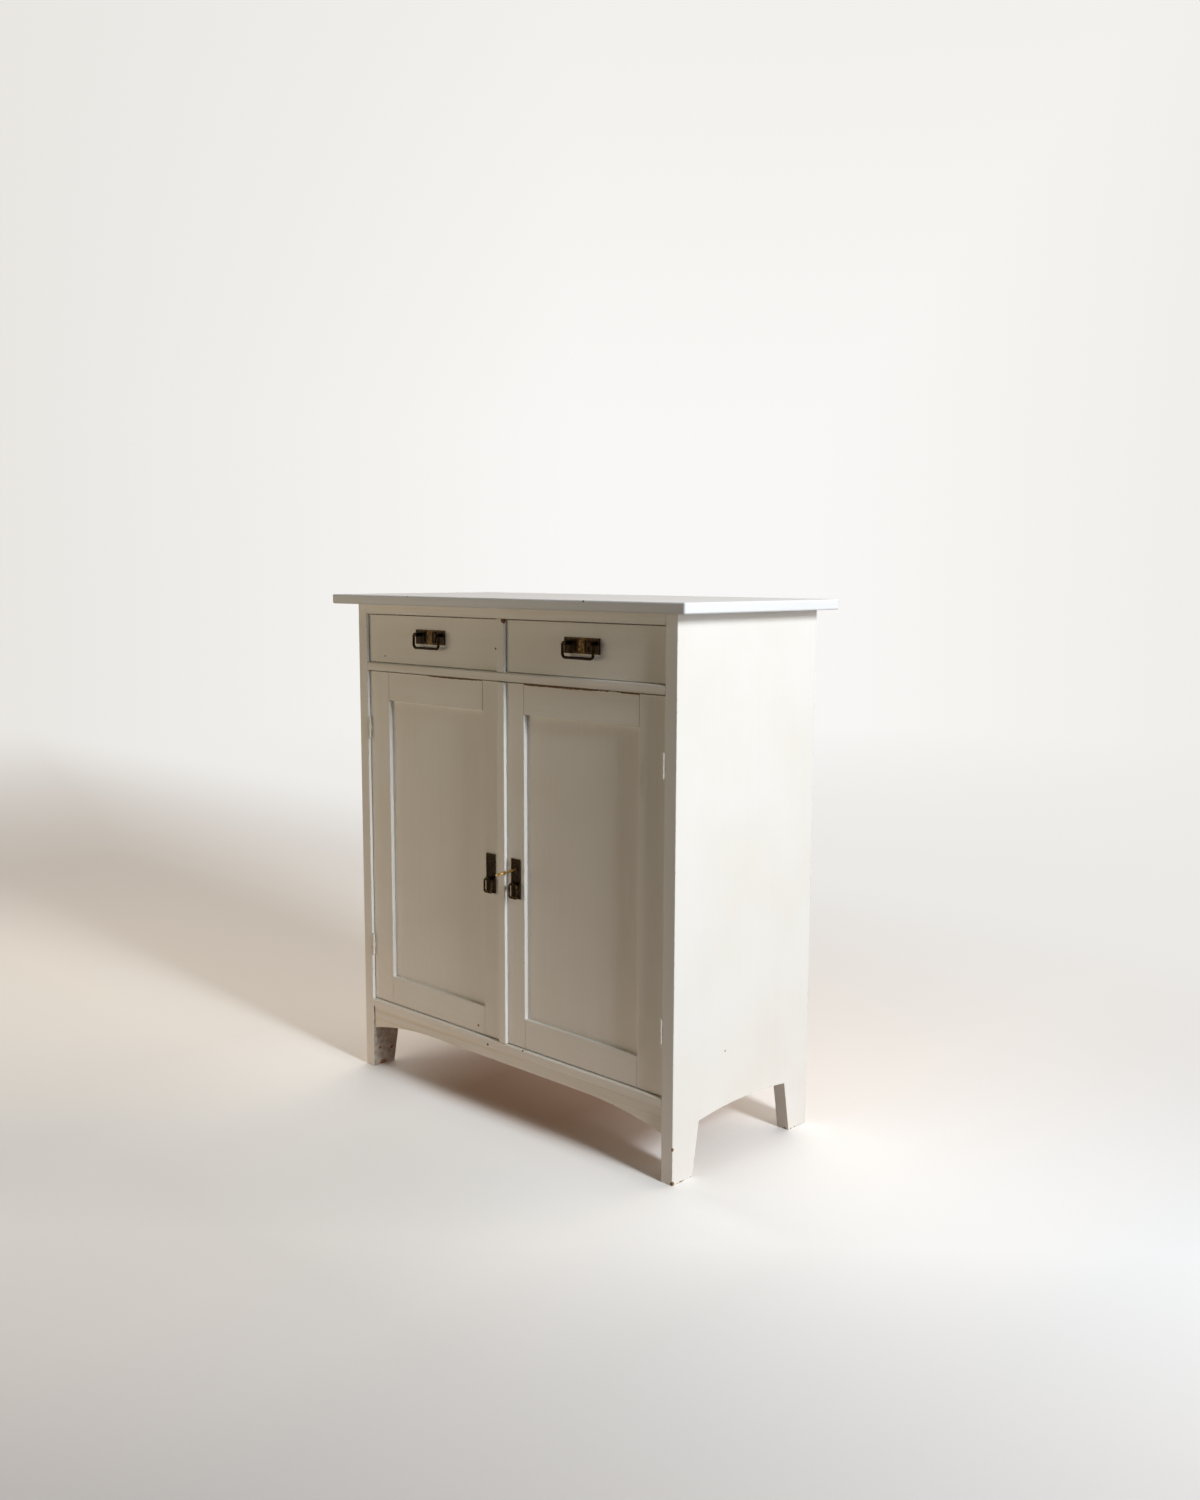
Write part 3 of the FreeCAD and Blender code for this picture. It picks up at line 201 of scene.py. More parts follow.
def add_node(tree, kind, inputs=(), **settings):
    """A new node with its inputs filled; settings are the node's own, such as its operation."""
    node = tree.nodes.new("ShaderNode" + kind)
    for name, value in settings.items():
        setattr(node, name, value)
    fill(tree, node, dict(inputs))
    return node


def new_finish(name):
    """A new material, its nodes, its shader and the place on the piece that its patterns read."""
    finish = bpy.data.materials.new(name)
    finish.use_nodes = True
    tree = finish.node_tree
    where = add_node(tree, "TexCoord").outputs["Object"]
    return finish, tree, tree.nodes["Principled BSDF"], where


def drawn_out(tree, where, grain, size, detail, distortion=0.0):
    """Noise drawn out along the grain; size is its width and its length in millimetres."""
    across, length = size
    scale = [1000 / across] * 3
    scale[grain] = 1000 / length
    field = add_node(tree, "Mapping", {"Vector": where, "Scale": scale}).outputs[0]
    return add_node(tree, "TexNoise", {"Vector": field, "Scale": 1.0, "Detail": detail,
                                       "Distortion": distortion}).outputs[0]


def soft_edges(tree, width):
    """The normal of a piece whose sharp edges are rubbed round over this many millimetres."""
    return add_node(tree, "Bevel", {"Radius": width / 1000}, samples=4).outputs[0]


def edge_band(tree, width):
    """1 on the edges of a piece and 0 from about this many millimetres inwards."""
    flat = add_node(tree, "NewGeometry").outputs["Normal"]
    bend = add_node(tree, "VectorMath", {0: soft_edges(tree, width), 1: flat},
                    operation="DOT_PRODUCT").outputs["Value"]
    return add_node(tree, "MapRange", {"Value": bend, "From Min": 0.99,
                                       "From Max": 0.8}).outputs[0]


def within(tree, spread, limits, wander=None):
    """1 past every limit (axis, place where it is 0, place where it is 1).

    wander is noise that makes the border run unevenly.
    """
    inside = None
    for axis, none, full in limits:
        place = spread.outputs[axis]
        if wander is not None:
            gap = full - none
            place = add_node(tree, "Math", {0: wander, 1: gap * 1.5, 2: place},
                             operation="MULTIPLY_ADD").outputs[0]
            none, full = none + gap * 1.4, full + gap * 0.6
        part = add_node(tree, "MapRange", {"Value": place, "From Min": none,
                                           "From Max": full}).outputs[0]
        inside = part if inside is None else add_node(tree, "Math", {0: inside, 1: part},
                                                      operation="MULTIPLY").outputs[0]
    return inside


def board_by_board(tree, where, boards):
    """Gives each board of a row a figure of its own.

    boards is the left edge of the row and the width of a board.
    """
    low, width = boards
    across = add_node(tree, "SeparateXYZ", {0: where}).outputs[0]
    count = add_node(tree, "Math", {0: across, 1: low}, operation="SUBTRACT").outputs[0]
    count = add_node(tree, "Math", {0: count, 1: width}, operation="DIVIDE").outputs[0]
    count = add_node(tree, "Math", {0: count}, operation="FLOOR").outputs[0]
    apart = add_node(tree, "VectorMath", {0: count, 1: (0.37, 0.61, 2.3)},
                     operation="MULTIPLY").outputs[0]
    return add_node(tree, "VectorMath", {0: where, 1: apart}, operation="ADD").outputs[0]


def pine_figure(tree, where, grain):
    """Old pine: pale early wood, brown late wood every few millimetres, fibres, patches of age."""
    growth = drawn_out(tree, where, grain, PINE_FIGURE, 1.0, distortion=0.2)
    rings = add_node(tree, "Math", {0: growth, 1: PINE_RINGS}, operation="MULTIPLY").outputs[0]
    ring = add_node(tree, "Math", {0: rings, 1: 1.0}, operation="PINGPONG").outputs[0]
    late = add_node(tree, "MapRange", {"Value": ring, "From Min": 0.45, "From Max": 1.0,
                                       "To Max": 0.75}).outputs[0]
    fibre = drawn_out(tree, where, grain, PINE_FIBRE, 2.0)
    streak = add_node(tree, "MapRange", {"Value": fibre, "From Min": 0.42, "From Max": 0.72,
                                         "To Max": 0.5}).outputs[0]
    age = add_node(tree, "TexNoise", {"Vector": where, "Scale": 1000 / PINE_PATCH,
                                      "Detail": 3.0}).outputs[0]
    aged = add_node(tree, "MapRange", {"Value": age, "From Min": 0.4, "From Max": 0.75,
                                       "To Max": 0.6}).outputs[0]
    wood = add_node(tree, "Mix", {0: late, 6: linear(EARLY_WOOD), 7: linear(LATE_WOOD)},
                    data_type="RGBA").outputs[2]
    wood = add_node(tree, "Mix", {0: streak, 6: wood, 7: linear(FIBRE_WOOD)},
                    data_type="RGBA").outputs[2]
    wood = add_node(tree, "Mix", {0: aged, 6: wood, 7: linear(AGED_WOOD)},
                    data_type="RGBA").outputs[2]
    return wood, fibre


def bare_pine(name, grain, boards=None):
    """Unpainted pine, planed long ago: matt, dry and brown, with grain that the light picks out.

    boards, where the piece is a row of boards, is what board_by_board takes.
    """
    finish, tree, shader, where = new_finish(name)
    if boards:
        where = board_by_board(tree, where, boards)
    wood, fibre = pine_figure(tree, where, grain)
    worn = edge_band(tree, 1.6)
    wood = add_node(tree, "Mix", {0: worn, 6: wood, 7: linear(RUBBED_WOOD)},
                    data_type="RGBA").outputs[2]
    rough = add_node(tree, "MapRange", {"Value": fibre, "To Min": 0.62, "To Max": 0.85}).outputs[0]
    normal = add_node(tree, "Bump", {"Strength": 0.5, "Distance": 0.0002, "Height": fibre,
                                     "Normal": soft_edges(tree, 0.8)}).outputs[0]
    fill(tree, shader, {"Base Color": wood, "Roughness": rough, "Normal": normal})
    return finish


def brushed_coat(tree, where, grain, streaks, whites):
    """Colour of the coat of paint, and the patches, strokes and furrows that it is drawn from."""
    patch = add_node(tree, "TexNoise", {"Vector": where, "Scale": 1000 / PAINT_PATCH,
                                        "Detail": 3.0}).outputs[0]
    stroke = drawn_out(tree, where, grain, PAINT_STROKE, 3.0)
    furrow = drawn_out(tree, where, grain, PAINT_FURROW, 2.0)
    patchy = add_node(tree, "MapRange", {"Value": patch, "From Min": 0.4, "From Max": 0.7,
                                         "To Max": 0.6}).outputs[0]
    yellowed = add_node(tree, "MapRange", {"Value": stroke, "From Min": 0.42, "From Max": 0.72,
                                           "To Max": streaks}).outputs[0]
    greyed = add_node(tree, "MapRange", {"Value": furrow, "From Min": 0.5, "From Max": 0.75,
                                         "To Max": streaks * 0.4}).outputs[0]
    paint = add_node(tree, "Mix", {0: patchy, 6: linear(whites[0]), 7: linear(whites[1])},
                     data_type="RGBA").outputs[2]
    paint = add_node(tree, "Mix", {0: yellowed, 6: paint, 7: linear(STROKE_YELLOW)},
                     data_type="RGBA").outputs[2]
    paint = add_node(tree, "Mix", {0: greyed, 6: paint, 7: linear(FURROW_GREY)},
                     data_type="RGBA").outputs[2]
    return paint, patch, stroke, furrow


def worn_through(tree, where, spread, ragged, chips):
    """1 where the paint is gone: rubbed edges, scuffed feet and chips, all ragged in outline."""
    thin = add_node(tree, "MapRange", {"Value": ragged, "From Min": 0.6,
                                       "From Max": 0.68}).outputs[0]
    worn = add_node(tree, "Math", {0: edge_band(tree, 2.4), 1: thin},
                    operation="MULTIPLY").outputs[0]
    foot = add_node(tree, "MapRange", {"Value": spread.outputs[UPRIGHT], "From Min": SCUFF_HEIGHT,
                                       "From Max": 0.0}).outputs[0]
    foot = add_node(tree, "Math", {0: foot, 1: ragged}, operation="MULTIPLY").outputs[0]
    scuffed = add_node(tree, "MapRange", {"Value": foot, "From Min": 0.48,
                                          "From Max": 0.56}).outputs[0]
    worn = add_node(tree, "Math", {0: worn, 1: scuffed}, operation="MAXIMUM").outputs[0]
    for x, y, z, radius, *half_length in chips:
        offset = add_node(tree, "VectorMath", {0: where, 1: (x / 1000, y / 1000, z / 1000)},
                          operation="SUBTRACT").outputs[0]
        if half_length:
            squeeze = (radius / half_length[0], 1.0, 1.0)
            offset = add_node(tree, "VectorMath", {0: offset, 1: squeeze},
                              operation="MULTIPLY").outputs[0]
        reach = add_node(tree, "VectorMath", {0: offset}, operation="LENGTH").outputs["Value"]
        uneven = add_node(tree, "Math", {0: ragged, 1: -radius / 1000, 2: reach},
                          operation="MULTIPLY_ADD").outputs[0]
        chip = add_node(tree, "MapRange", {"Value": uneven, "From Min": radius * 0.0006,
                                           "From Max": radius * 0.0004}).outputs[0]
        worn = add_node(tree, "Math", {0: worn, 1: chip}, operation="MAXIMUM").outputs[0]
    return worn


def white_paint(name, grain, bare=(), chips=(), dirt_and_shade=(), streaks=0.07, whites=WHITES):
    """Brushed white oil paint on pine, a century old: satin, levelled smooth, faintly yellow.

    bare lists limits (axis, last painted place, first bare place) past which the wood was never
    painted; chips lists places as CHIPS does; dirt_and_shade lists limits past which the paint is
    darker with soiling and painted shade; streaks is how far the brush's strokes show; whites are
    the paint and its yellowed patches, or a cooler pair that paints a bluish sheen.
    """
    finish, tree, shader, where = new_finish(name)
    spread = add_node(tree, "SeparateXYZ", {0: where})
    ragged = add_node(tree, "TexNoise", {"Vector": where, "Scale": 1000 / PAINT_RAGGED,
                                         "Detail": 4.0}).outputs[0]
    paint, patch, stroke, furrow = brushed_coat(tree, where, grain, streaks, whites)
    wood = pine_figure(tree, where, grain)[0]

    # Grime and painted shade on the insides of the feet, faces that a cloth never reaches and that
    # lie in the shade under the cupboard
    if dirt_and_shade:
        grimy_and_shaded = within(tree, spread, dirt_and_shade, patch)
        grime_shade_amount = add_node(tree, "MapRange", {"Value": ragged, "From Min": 0.25, "From Max": 0.75,
                                            "To Min": 0.55, "To Max": 0.95}).outputs[0]
        grimy_and_shaded = add_node(tree, "Math", {0: grimy_and_shaded, 1: grime_shade_amount}, operation="MULTIPLY").outputs[0]
        paint = add_node(tree, "Mix", {0: grimy_and_shaded, 6: paint, 7: linear(GRIME_AND_SHADE)},
                         data_type="RGBA").outputs[2]

    gone = worn_through(tree, where, spread, ragged, chips)
    brown = add_node(tree, "Mix", {0: 0.55, 6: wood, 7: linear(CHIPPED_WOOD)},
                     data_type="RGBA").outputs[2]
    colour = add_node(tree, "Mix", {0: gone, 6: paint, 7: brown}, data_type="RGBA").outputs[2]

    # Where the brush never went
    if bare:
        unpainted = within(tree, spread, bare, patch)
        colour = add_node(tree, "Mix", {0: unpainted, 6: colour, 7: wood},
                          data_type="RGBA").outputs[2]
        gone = add_node(tree, "Math", {0: gone, 1: unpainted}, operation="MAXIMUM").outputs[0]

    satin = add_node(tree, "MapRange", {"Value": stroke, "To Min": 0.38, "To Max": 0.5}).outputs[0]
    rough = add_node(tree, "Mix", {0: gone, 2: satin, 3: 0.78}).outputs[0]
    relief = add_node(tree, "Bump", {"Strength": 0.16, "Distance": 0.00008, "Height": furrow,
                                     "Normal": soft_edges(tree, 0.9)}).outputs[0]
    coat = add_node(tree, "Math", {0: 1.0, 1: gone}, operation="SUBTRACT").outputs[0]
    relief = add_node(tree, "Bump", {"Strength": 0.8, "Distance": 0.00025, "Height": coat,
                                     "Normal": relief}).outputs[0]
    fill(tree, shader, {"Base Color": colour, "Roughness": rough, "Normal": relief,
                        "Specular IOR Level": 0.4})
    return finish


def painted_iron(name):
    """Iron hinges brushed over with the same paint: lumpy, rubbed to dark iron on the knuckles."""
    finish, tree, shader, where = new_finish(name)
    lumps = add_node(tree, "TexNoise", {"Vector": where, "Scale": 1000 / IRON_LUMP,
                                        "Detail": 3.0}).outputs[0]
    thin = add_node(tree, "MapRange", {"Value": lumps, "From Min": 0.56,
                                       "From Max": 0.62}).outputs[0]
    worn = add_node(tree, "Math", {0: edge_band(tree, 1.0), 1: thin},
                    operation="MULTIPLY").outputs[0]
    tone = add_node(tree, "MapRange", {"Value": lumps, "From Min": 0.35,
                                       "From Max": 0.7}).outputs[0]
    paint = add_node(tree, "Mix", {0: tone, 6: linear(HINGE_WHITES[0]), 7: linear(HINGE_WHITES[1])},
                     data_type="RGBA").outputs[2]
    colour = add_node(tree, "Mix", {0: worn, 6: paint, 7: linear(DARK_IRON)},
                      data_type="RGBA").outputs[2]
    rough = add_node(tree, "MapRange", {"Value": lumps, "To Min": 0.38, "To Max": 0.6}).outputs[0]
    relief = add_node(tree, "Bump", {"Strength": 0.5, "Distance": 0.0002, "Height": lumps,
                                     "Normal": soft_edges(tree, 0.5)}).outputs[0]
    fill(tree, shader, {"Base Color": colour, "Roughness": rough, "Normal": relief})
    return finish


def dark_brass(name, gleam, fields=()):
    """Stamped brass browned almost black: tarnish in the hollows, a gleam on what hands rub.

    gleam is the colour of the metal between the tarnish; fields lists how far along the front, in
    metres, the middles of the raised fields lie that are rubbed to gold.
    """
    finish, tree, shader, where = new_finish(name)
    tarnish = add_node(tree, "TexNoise", {"Vector": where, "Scale": 1000 / BRASS_SPOT,
                                          "Detail": 5.0, "Roughness": 0.6}).outputs[0]
    clean = add_node(tree, "MapRange", {"Value": tarnish, "From Min": 0.42,
                                        "From Max": 0.68}).outputs[0]
    handled = add_node(tree, "Math", {0: edge_band(tree, 0.9), 1: tarnish},
                       operation="MULTIPLY").outputs[0]
    colour = add_node(tree, "Mix", {0: clean, 6: linear(TARNISH), 7: linear(gleam)},
                      data_type="RGBA").outputs[2]
    for x in fields:
        along = add_node(tree, "SeparateXYZ", {0: where}).outputs[ALONG]
        raised = add_node(tree, "Math", {0: along, 1: x, 2: FIELD_HALF},
                          operation="COMPARE").outputs[0]
        gilt = add_node(tree, "Math", {0: raised, 1: clean}, operation="MULTIPLY").outputs[0]
        colour = add_node(tree, "Mix", {0: gilt, 6: colour, 7: linear(FIELD_BRASS)},
                          data_type="RGBA").outputs[2]
    colour = add_node(tree, "Mix", {0: handled, 6: colour, 7: linear(HANDLED_BRASS)},
                      data_type="RGBA").outputs[2]
    rough = add_node(tree, "MapRange", {"Value": tarnish, "To Min": 0.26, "To Max": 0.6}).outputs[0]
    relief = add_node(tree, "Bump", {"Strength": 0.35, "Distance": 0.00015, "Height": tarnish,
                                     "Normal": soft_edges(tree, 0.35)}).outputs[0]
    fill(tree, shader, {"Base Color": colour, "Metallic": 1.0, "Roughness": rough,
                        "Normal": relief})
    return finish


def rubbed_brass(name):
    """Brass that fingers keep bright: yellow metal, patches of brown tarnish, fine scratches."""
    finish, tree, shader, where = new_finish(name)
    tarnish = add_node(tree, "TexNoise", {"Vector": where, "Scale": 1000 / KEY_SPOT,
                                          "Detail": 4.0}).outputs[0]
    dull = add_node(tree, "MapRange", {"Value": tarnish, "From Min": 0.5, "From Max": 0.72,
                                       "To Max": 0.8}).outputs[0]
    scratch = drawn_out(tree, where, DEEP, KEY_SCRATCH, 2.0)
    colour = add_node(tree, "Mix", {0: dull, 6: linear(KEY_BRASS), 7: linear(KEY_TARNISH)},
                      data_type="RGBA").outputs[2]
    rough = add_node(tree, "MapRange", {"Value": tarnish, "To Min": 0.22, "To Max": 0.5}).outputs[0]
    relief = add_node(tree, "Bump", {"Strength": 0.25, "Distance": 0.00008, "Height": scratch,
                                     "Normal": soft_edges(tree, 0.4)}).outputs[0]
    fill(tree, shader, {"Base Color": colour, "Metallic": 1.0, "Roughness": rough,
                        "Normal": relief})
    return finish


def old_steel(name):
    """Dull rolled steel of a plain lock, bolts and screws: grey, with brown bloom of old rust."""
    finish, tree, shader, where = new_finish(name)
    bloom = add_node(tree, "TexNoise", {"Vector": where, "Scale": 1000 / STEEL_BLOOM,
                                        "Detail": 5.0, "Roughness": 0.65}).outputs[0]
    rust = add_node(tree, "MapRange", {"Value": bloom, "From Min": 0.5, "From Max": 0.74,
                                       "To Max": 0.85}).outputs[0]
    handled = add_node(tree, "Math", {0: edge_band(tree, 0.6), 1: 0.6},
                       operation="MULTIPLY").outputs[0]
    colour = add_node(tree, "Mix", {0: rust, 6: linear(STEEL), 7: linear(RUST)},
                      data_type="RGBA").outputs[2]
    colour = add_node(tree, "Mix", {0: handled, 6: colour, 7: linear(HANDLED_STEEL)},
                      data_type="RGBA").outputs[2]
    rough = add_node(tree, "MapRange", {"Value": bloom, "To Min": 0.32, "To Max": 0.72}).outputs[0]
    relief = add_node(tree, "Bump", {"Strength": 0.3, "Distance": 0.0001, "Height": bloom,
                                     "Normal": soft_edges(tree, 0.3)}).outputs[0]
    fill(tree, shader, {"Base Color": colour, "Metallic": 1.0, "Roughness": rough,
                        "Normal": relief})
    return finish


def finish_nodes(finish, *names):
    """Puts a finish on these CAD nodes."""
    for name in names:
        for slot in nodes[name].material_slots:
            slot.material = finish


def skin(axis, plane, way):
    """The limit just before a plane that is met going up the axis (way 1) or down it (-1)."""
    return axis, plane - way * 0.0006, plane - way * 0.0002


def back_row():
    """Left edge of the row of back boards, and the width of a board."""
    low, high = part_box("back_boards")
    return low[ALONG], (high[ALONG] - low[ALONG]) / BACK_BOARDS


def place_in(name, axis, share):
    """The place along an axis that is this share of the way through a CAD node."""
    low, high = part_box(name)
    return low[axis] + (high[axis] - low[axis]) * share


def dress_wood():
    """Painted outside, bare pine inside, with the wear that the photograph shows."""
    above_bottom = (UPRIGHT, BOTTOM_UNDERSIDE - 0.0002, BOTTOM_UNDERSIDE + 0.0004)
    below_bottom = (UPRIGHT, BOTTOM_UNDERSIDE + 0.0004, BOTTOM_UNDERSIDE - 0.0002)
    behind_doors = (DEEP, DOOR_BACK - 0.0009, DOOR_BACK + 0.0071)
    for side, way in (("left", 1), ("right", -1)):
        inner_face = skin(ALONG, -way * SIDE_INSIDE, way)
        # The insides of the feet are darkened with soiling and painted shade
        finish_nodes(white_paint(f"white_paint_{side}_side", UPRIGHT,
                                 [inner_face, behind_doors, above_bottom],
                                 CHIPS[f"{side}_side"], dirt_and_shade=[inner_face, below_bottom],
                                 streaks=0.03), f"{side}_side")
    # The top's cooler whites paint a bluish sheen
    finish_nodes(white_paint("white_paint_top", ALONG, chips=CHIPS["top"], whites=COOL_SHEEN_WHITES),
                 "top_board")
    finish_nodes(white_paint("white_paint_cross_boards", ALONG, [behind_doors],
                             CHIPS["cross_boards"], streaks=0.35),
                 "bottom_board", "mid_rail", "top_front_rail")
    finish_nodes(white_paint("white_paint_apron", ALONG, [skin(DEEP, APRON_BACK, 1)],
                             CHIPS["apron"], streaks=0.5), "front_apron")
    finish_nodes(white_paint("white_paint_divider", UPRIGHT, [behind_doors], CHIPS["divider"]),
                 "drawer_divider")

    # On the edges of a door's frame the brush stopped unevenly, a little before the panel's back
    frame_back = (DEEP, PANEL_BACK - 0.0025, PANEL_BACK - 0.0003)
    finish_nodes(white_paint("white_paint_door_uprights", UPRIGHT, [frame_back]),
                 "left_hinge_stile", "left_meeting_stile", "right_hinge_stile",
                 "right_meeting_stile", "meeting_strip")
    finish_nodes(white_paint("white_paint_door_panels", UPRIGHT, [skin(DEEP, PANEL_BACK, 1)]),
                 "left_door_panel", "right_door_panel")
    finish_nodes(white_paint("white_paint_door_rails", ALONG, [frame_back], CHIPS["door_rails"]),
                 "left_door_top_rail", "left_door_bottom_rail", "right_door_top_rail",
                 "right_door_bottom_rail")
    finish_nodes(white_paint("white_paint_drawer_fronts", ALONG,
                             [(DEEP, FACE + 0.006, FACE + 0.011)], CHIPS["drawer_fronts"]),
                 "left_drawer_front", "right_drawer_front")

    finish_nodes(bare_pine("bare_pine_back", UPRIGHT, back_row()), "back_boards")
    finish_nodes(bare_pine("bare_pine_along", ALONG), "shelf", "top_rear_rail", "runner_rear_rail",
                 "left_drawer_back", "right_drawer_back", "left_drawer_bottom",
                 "right_drawer_bottom")
    finish_nodes(bare_pine("bare_pine_deep", DEEP), "shelf_cleats", "side_runners", "centre_runner",
                 "left_drawer_left_side", "left_drawer_right_side", "right_drawer_left_side",
                 "right_drawer_right_side")


def dress_metal():
    """Painted hinges, dark brass pulls, a bright key, and steel for what is out of sight.

    Gives back the finishes that the pins and the nails share.
    """
    finish_nodes(painted_iron("painted_iron_hinges"), "left_hinge_frame_leaves",
                 "right_hinge_frame_leaves", "left_hinge_door_leaves", "right_hinge_door_leaves",
                 "hinge_pins")
    brown = dark_brass("browned_brass_plates", PLATE_BRASS)
    finish_nodes(brown, "left_door_plate", "right_door_plate", "left_drawer_pull_bolts",
                 "right_drawer_pull_bolts")
    drawer_plates = ("left_drawer_plate", "right_drawer_plate")
    fields = [place_in(plate, ALONG, 0.5) for plate in drawer_plates]
    finish_nodes(dark_brass("browned_brass_drawer_plates", PLATE_BRASS, fields), *drawer_plates)
    finish_nodes(dark_brass("browned_brass_drops", DROP_BRASS), "left_door_bail", "right_door_bail")
    finish_nodes(dark_brass("browned_brass_bails", BAIL_BRASS),
                 "left_drawer_bail", "right_drawer_bail")
    finish_nodes(rubbed_brass("rubbed_brass_key"), "key")
    steel = old_steel("old_steel_fittings")
    finish_nodes(steel, "frame_hinge_screws", "left_door_screws", "right_door_screws", "lock_case",
                 "lock_bolt", "upper_bolt", "lower_bolt", "bolt_guides")
    return brown, steel


def new_object(name, shape, finish):
    """An object of this shape and finish."""
    mesh = bpy.data.meshes.new(name)
    shape.to_mesh(mesh)
    shape.free()
    mesh.materials.append(finish)
    thing = bpy.data.objects.new(name, mesh)
    bpy.context.collection.objects.link(thing)
    return thing


def driven_heads(name, places, radius, turn, body, finish):
    """Heads of nails or pins, each a low dome driven home; turn points the dome outwards."""
    shape = bmesh.new()
    for place in places:
        head = bmesh.ops.create_cone(shape, cap_ends=True, segments=12, radius1=radius,
                                     radius2=radius * 0.86, depth=HEAD_HEIGHT,
                                     matrix=Matrix.Translation(place) @ turn)
        top = max({f for v in head["verts"] for f in v.link_faces},
                  key=lambda f: (turn.inverted() @ (f.calc_center_median() - Vector(place))).z)
        bmesh.ops.bevel(shape, geom=list(top.edges), offset=radius * 0.45, affect="EDGES",
                        segments=3, profile=0.5, material=-1)
    piece = new_object(name, shape, finish)
    piece.data.shade_smooth()
    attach(piece, body)


def small_fastenings(brown, steel):
    """Pins of the door plates and nails of the back boards, which the solids leave out."""
    to_front = Matrix.Rotation(math.radians(90), 4, "X")
    to_back = Matrix.Rotation(math.radians(-90), 4, "X")
    y = FACE - PLATE_THICKNESS - HEAD_HEIGHT / 2
    for side in ("left", "right"):
        plate = f"{side}_door_plate"
        x, foot = place_in(plate, ALONG, 0.5), place_in(plate, UPRIGHT, 0.0)
        pins = [(x, y, foot + rise) for rise in PIN_RISES]
        driven_heads(f"{side}_plate_pins", pins, PIN_RADIUS, to_front, f"{side}_door",
                     brown)
    low, width = back_row()
    y = CARCASS_BACK + HEAD_HEIGHT / 2 - NAIL_SUNK
    heights = [place_in(piece, UPRIGHT, share) for piece, share in NAILED]
    nails = [(low + width * (board + share), y, z)
             for board in range(BACK_BOARDS) for share in NAIL_SHARES for z in heights]
    driven_heads("back_nails", nails, NAIL_RADIUS, to_back, "carcass", steel)


def seen_directly(tree):
    """1 for what the camera, a gloss or a clear piece shows, 0 for light that a surface gathers."""
    path = add_node(tree, "LightPath")
    seen = add_node(tree, "Math", {0: path.outputs["Is Camera Ray"],
                                   1: path.outputs["Is Glossy Ray"]},
                    operation="MAXIMUM").outputs[0]
    return add_node(tree, "Math", {0: seen, 1: path.outputs["Is Transmission Ray"]},
                    operation="MAXIMUM").outputs[0]


def backdrop(tree, facing):
    """Colour of the paper sweep in a direction: brightest ahead, darker to left, right and top.

    The darkening is painted shade.
    """
    across = add_node(tree, "VectorMath", {0: facing, 1: RIGHTWARD},
                      operation="DOT_PRODUCT").outputs["Value"]
    upward = add_node(tree, "SeparateXYZ", {0: facing}).outputs[UPRIGHT]
    right = add_node(tree, "MapRange", {"Value": across, "From Min": 0.15,
                                        "From Max": 0.45}).outputs[0]
    above = add_node(tree, "MapRange", {"Value": upward, "From Min": 0.1,
                                        "From Max": 0.5}).outputs[0]
    edge = add_node(tree, "Math", {0: right, 1: above}, operation="MAXIMUM").outputs[0]
    left = add_node(tree, "MapRange", {"Value": across, "From Min": -0.02,
                                       "From Max": -0.45}).outputs[0]
    sweep = add_node(tree, "Mix", {0: edge, 6: linear(BACKDROP), 7: linear(BACKDROP_SHADED_EDGE)},
                     data_type="RGBA").outputs[2]
    return add_node(tree, "Mix", {0: left, 6: sweep, 7: linear(BACKDROP_SHADE)},
                    data_type="RGBA").outputs[2]


def floor_as_seen(tree, where, spread):
    """Floor colour, painted in shade: greyer aside and nearer the camera, warm under the cupboard.
    """
    aside = add_node(tree, "Math", {0: within(tree, spread, SHADED_TO_RIGHT),
                                    1: within(tree, spread, SHADED_TO_LEFT)},
                     operation="MAXIMUM").outputs[0]
    # The floor is painted greyer nearer the camera, as shade
    nearer = add_node(tree, "VectorMath", {0: where, 1: SHADED_NEARER},
                      operation="DOT_PRODUCT").outputs["Value"]
    dim = add_node(tree, "MapRange", {"Value": nearer, "From Min": 0.72,
                                      "From Max": 1.45}).outputs[0]
    # Painted shadow under the cupboard
    under = within(tree, spread, SHADOW_UNDERNEATH)
    pale = add_node(tree, "Mix", {0: aside, 6: linear(FLOOR), 7: linear(FLOOR_SHADED_ASIDE)},
                    data_type="RGBA").outputs[2]
    pale = add_node(tree, "Mix", {0: dim, 6: pale, 7: linear(FLOOR_SHADED_NEAR)},
                    data_type="RGBA").outputs[2]
    return add_node(tree, "Mix", {0: under, 6: pale, 7: linear(FLOOR_SHADOW_UNDER)},
                    data_type="RGBA").outputs[2]


def floor_thrown(tree, where, spread):
    """Colour with which the floor throws light up: only what lies near the cupboard throws any."""
    from_doors = add_node(tree, "VectorMath", {0: where, 1: BEFORE_DOORS},
                          operation="DISTANCE").outputs["Value"]
    glow = add_node(tree, "MapRange", {"Value": from_doors, "From Min": 0.55, "From Max": 0.85,
                                       "To Min": 1.0, "To Max": 0.0}).outputs[0]
    for place, share in ((BESIDE, 0.25), (BY_FOOT, 0.6)):
        part = add_node(tree, "Math", {0: within(tree, spread, place), 1: share},
                        operation="MULTIPLY").outputs[0]
        glow = add_node(tree, "Math", {0: glow, 1: part}, operation="MAXIMUM").outputs[0]
    return add_node(tree, "Mix", {0: glow, 6: linear("#000000"), 7: linear(FLOOR_GLOW)},
                    data_type="RGBA").outputs[2]


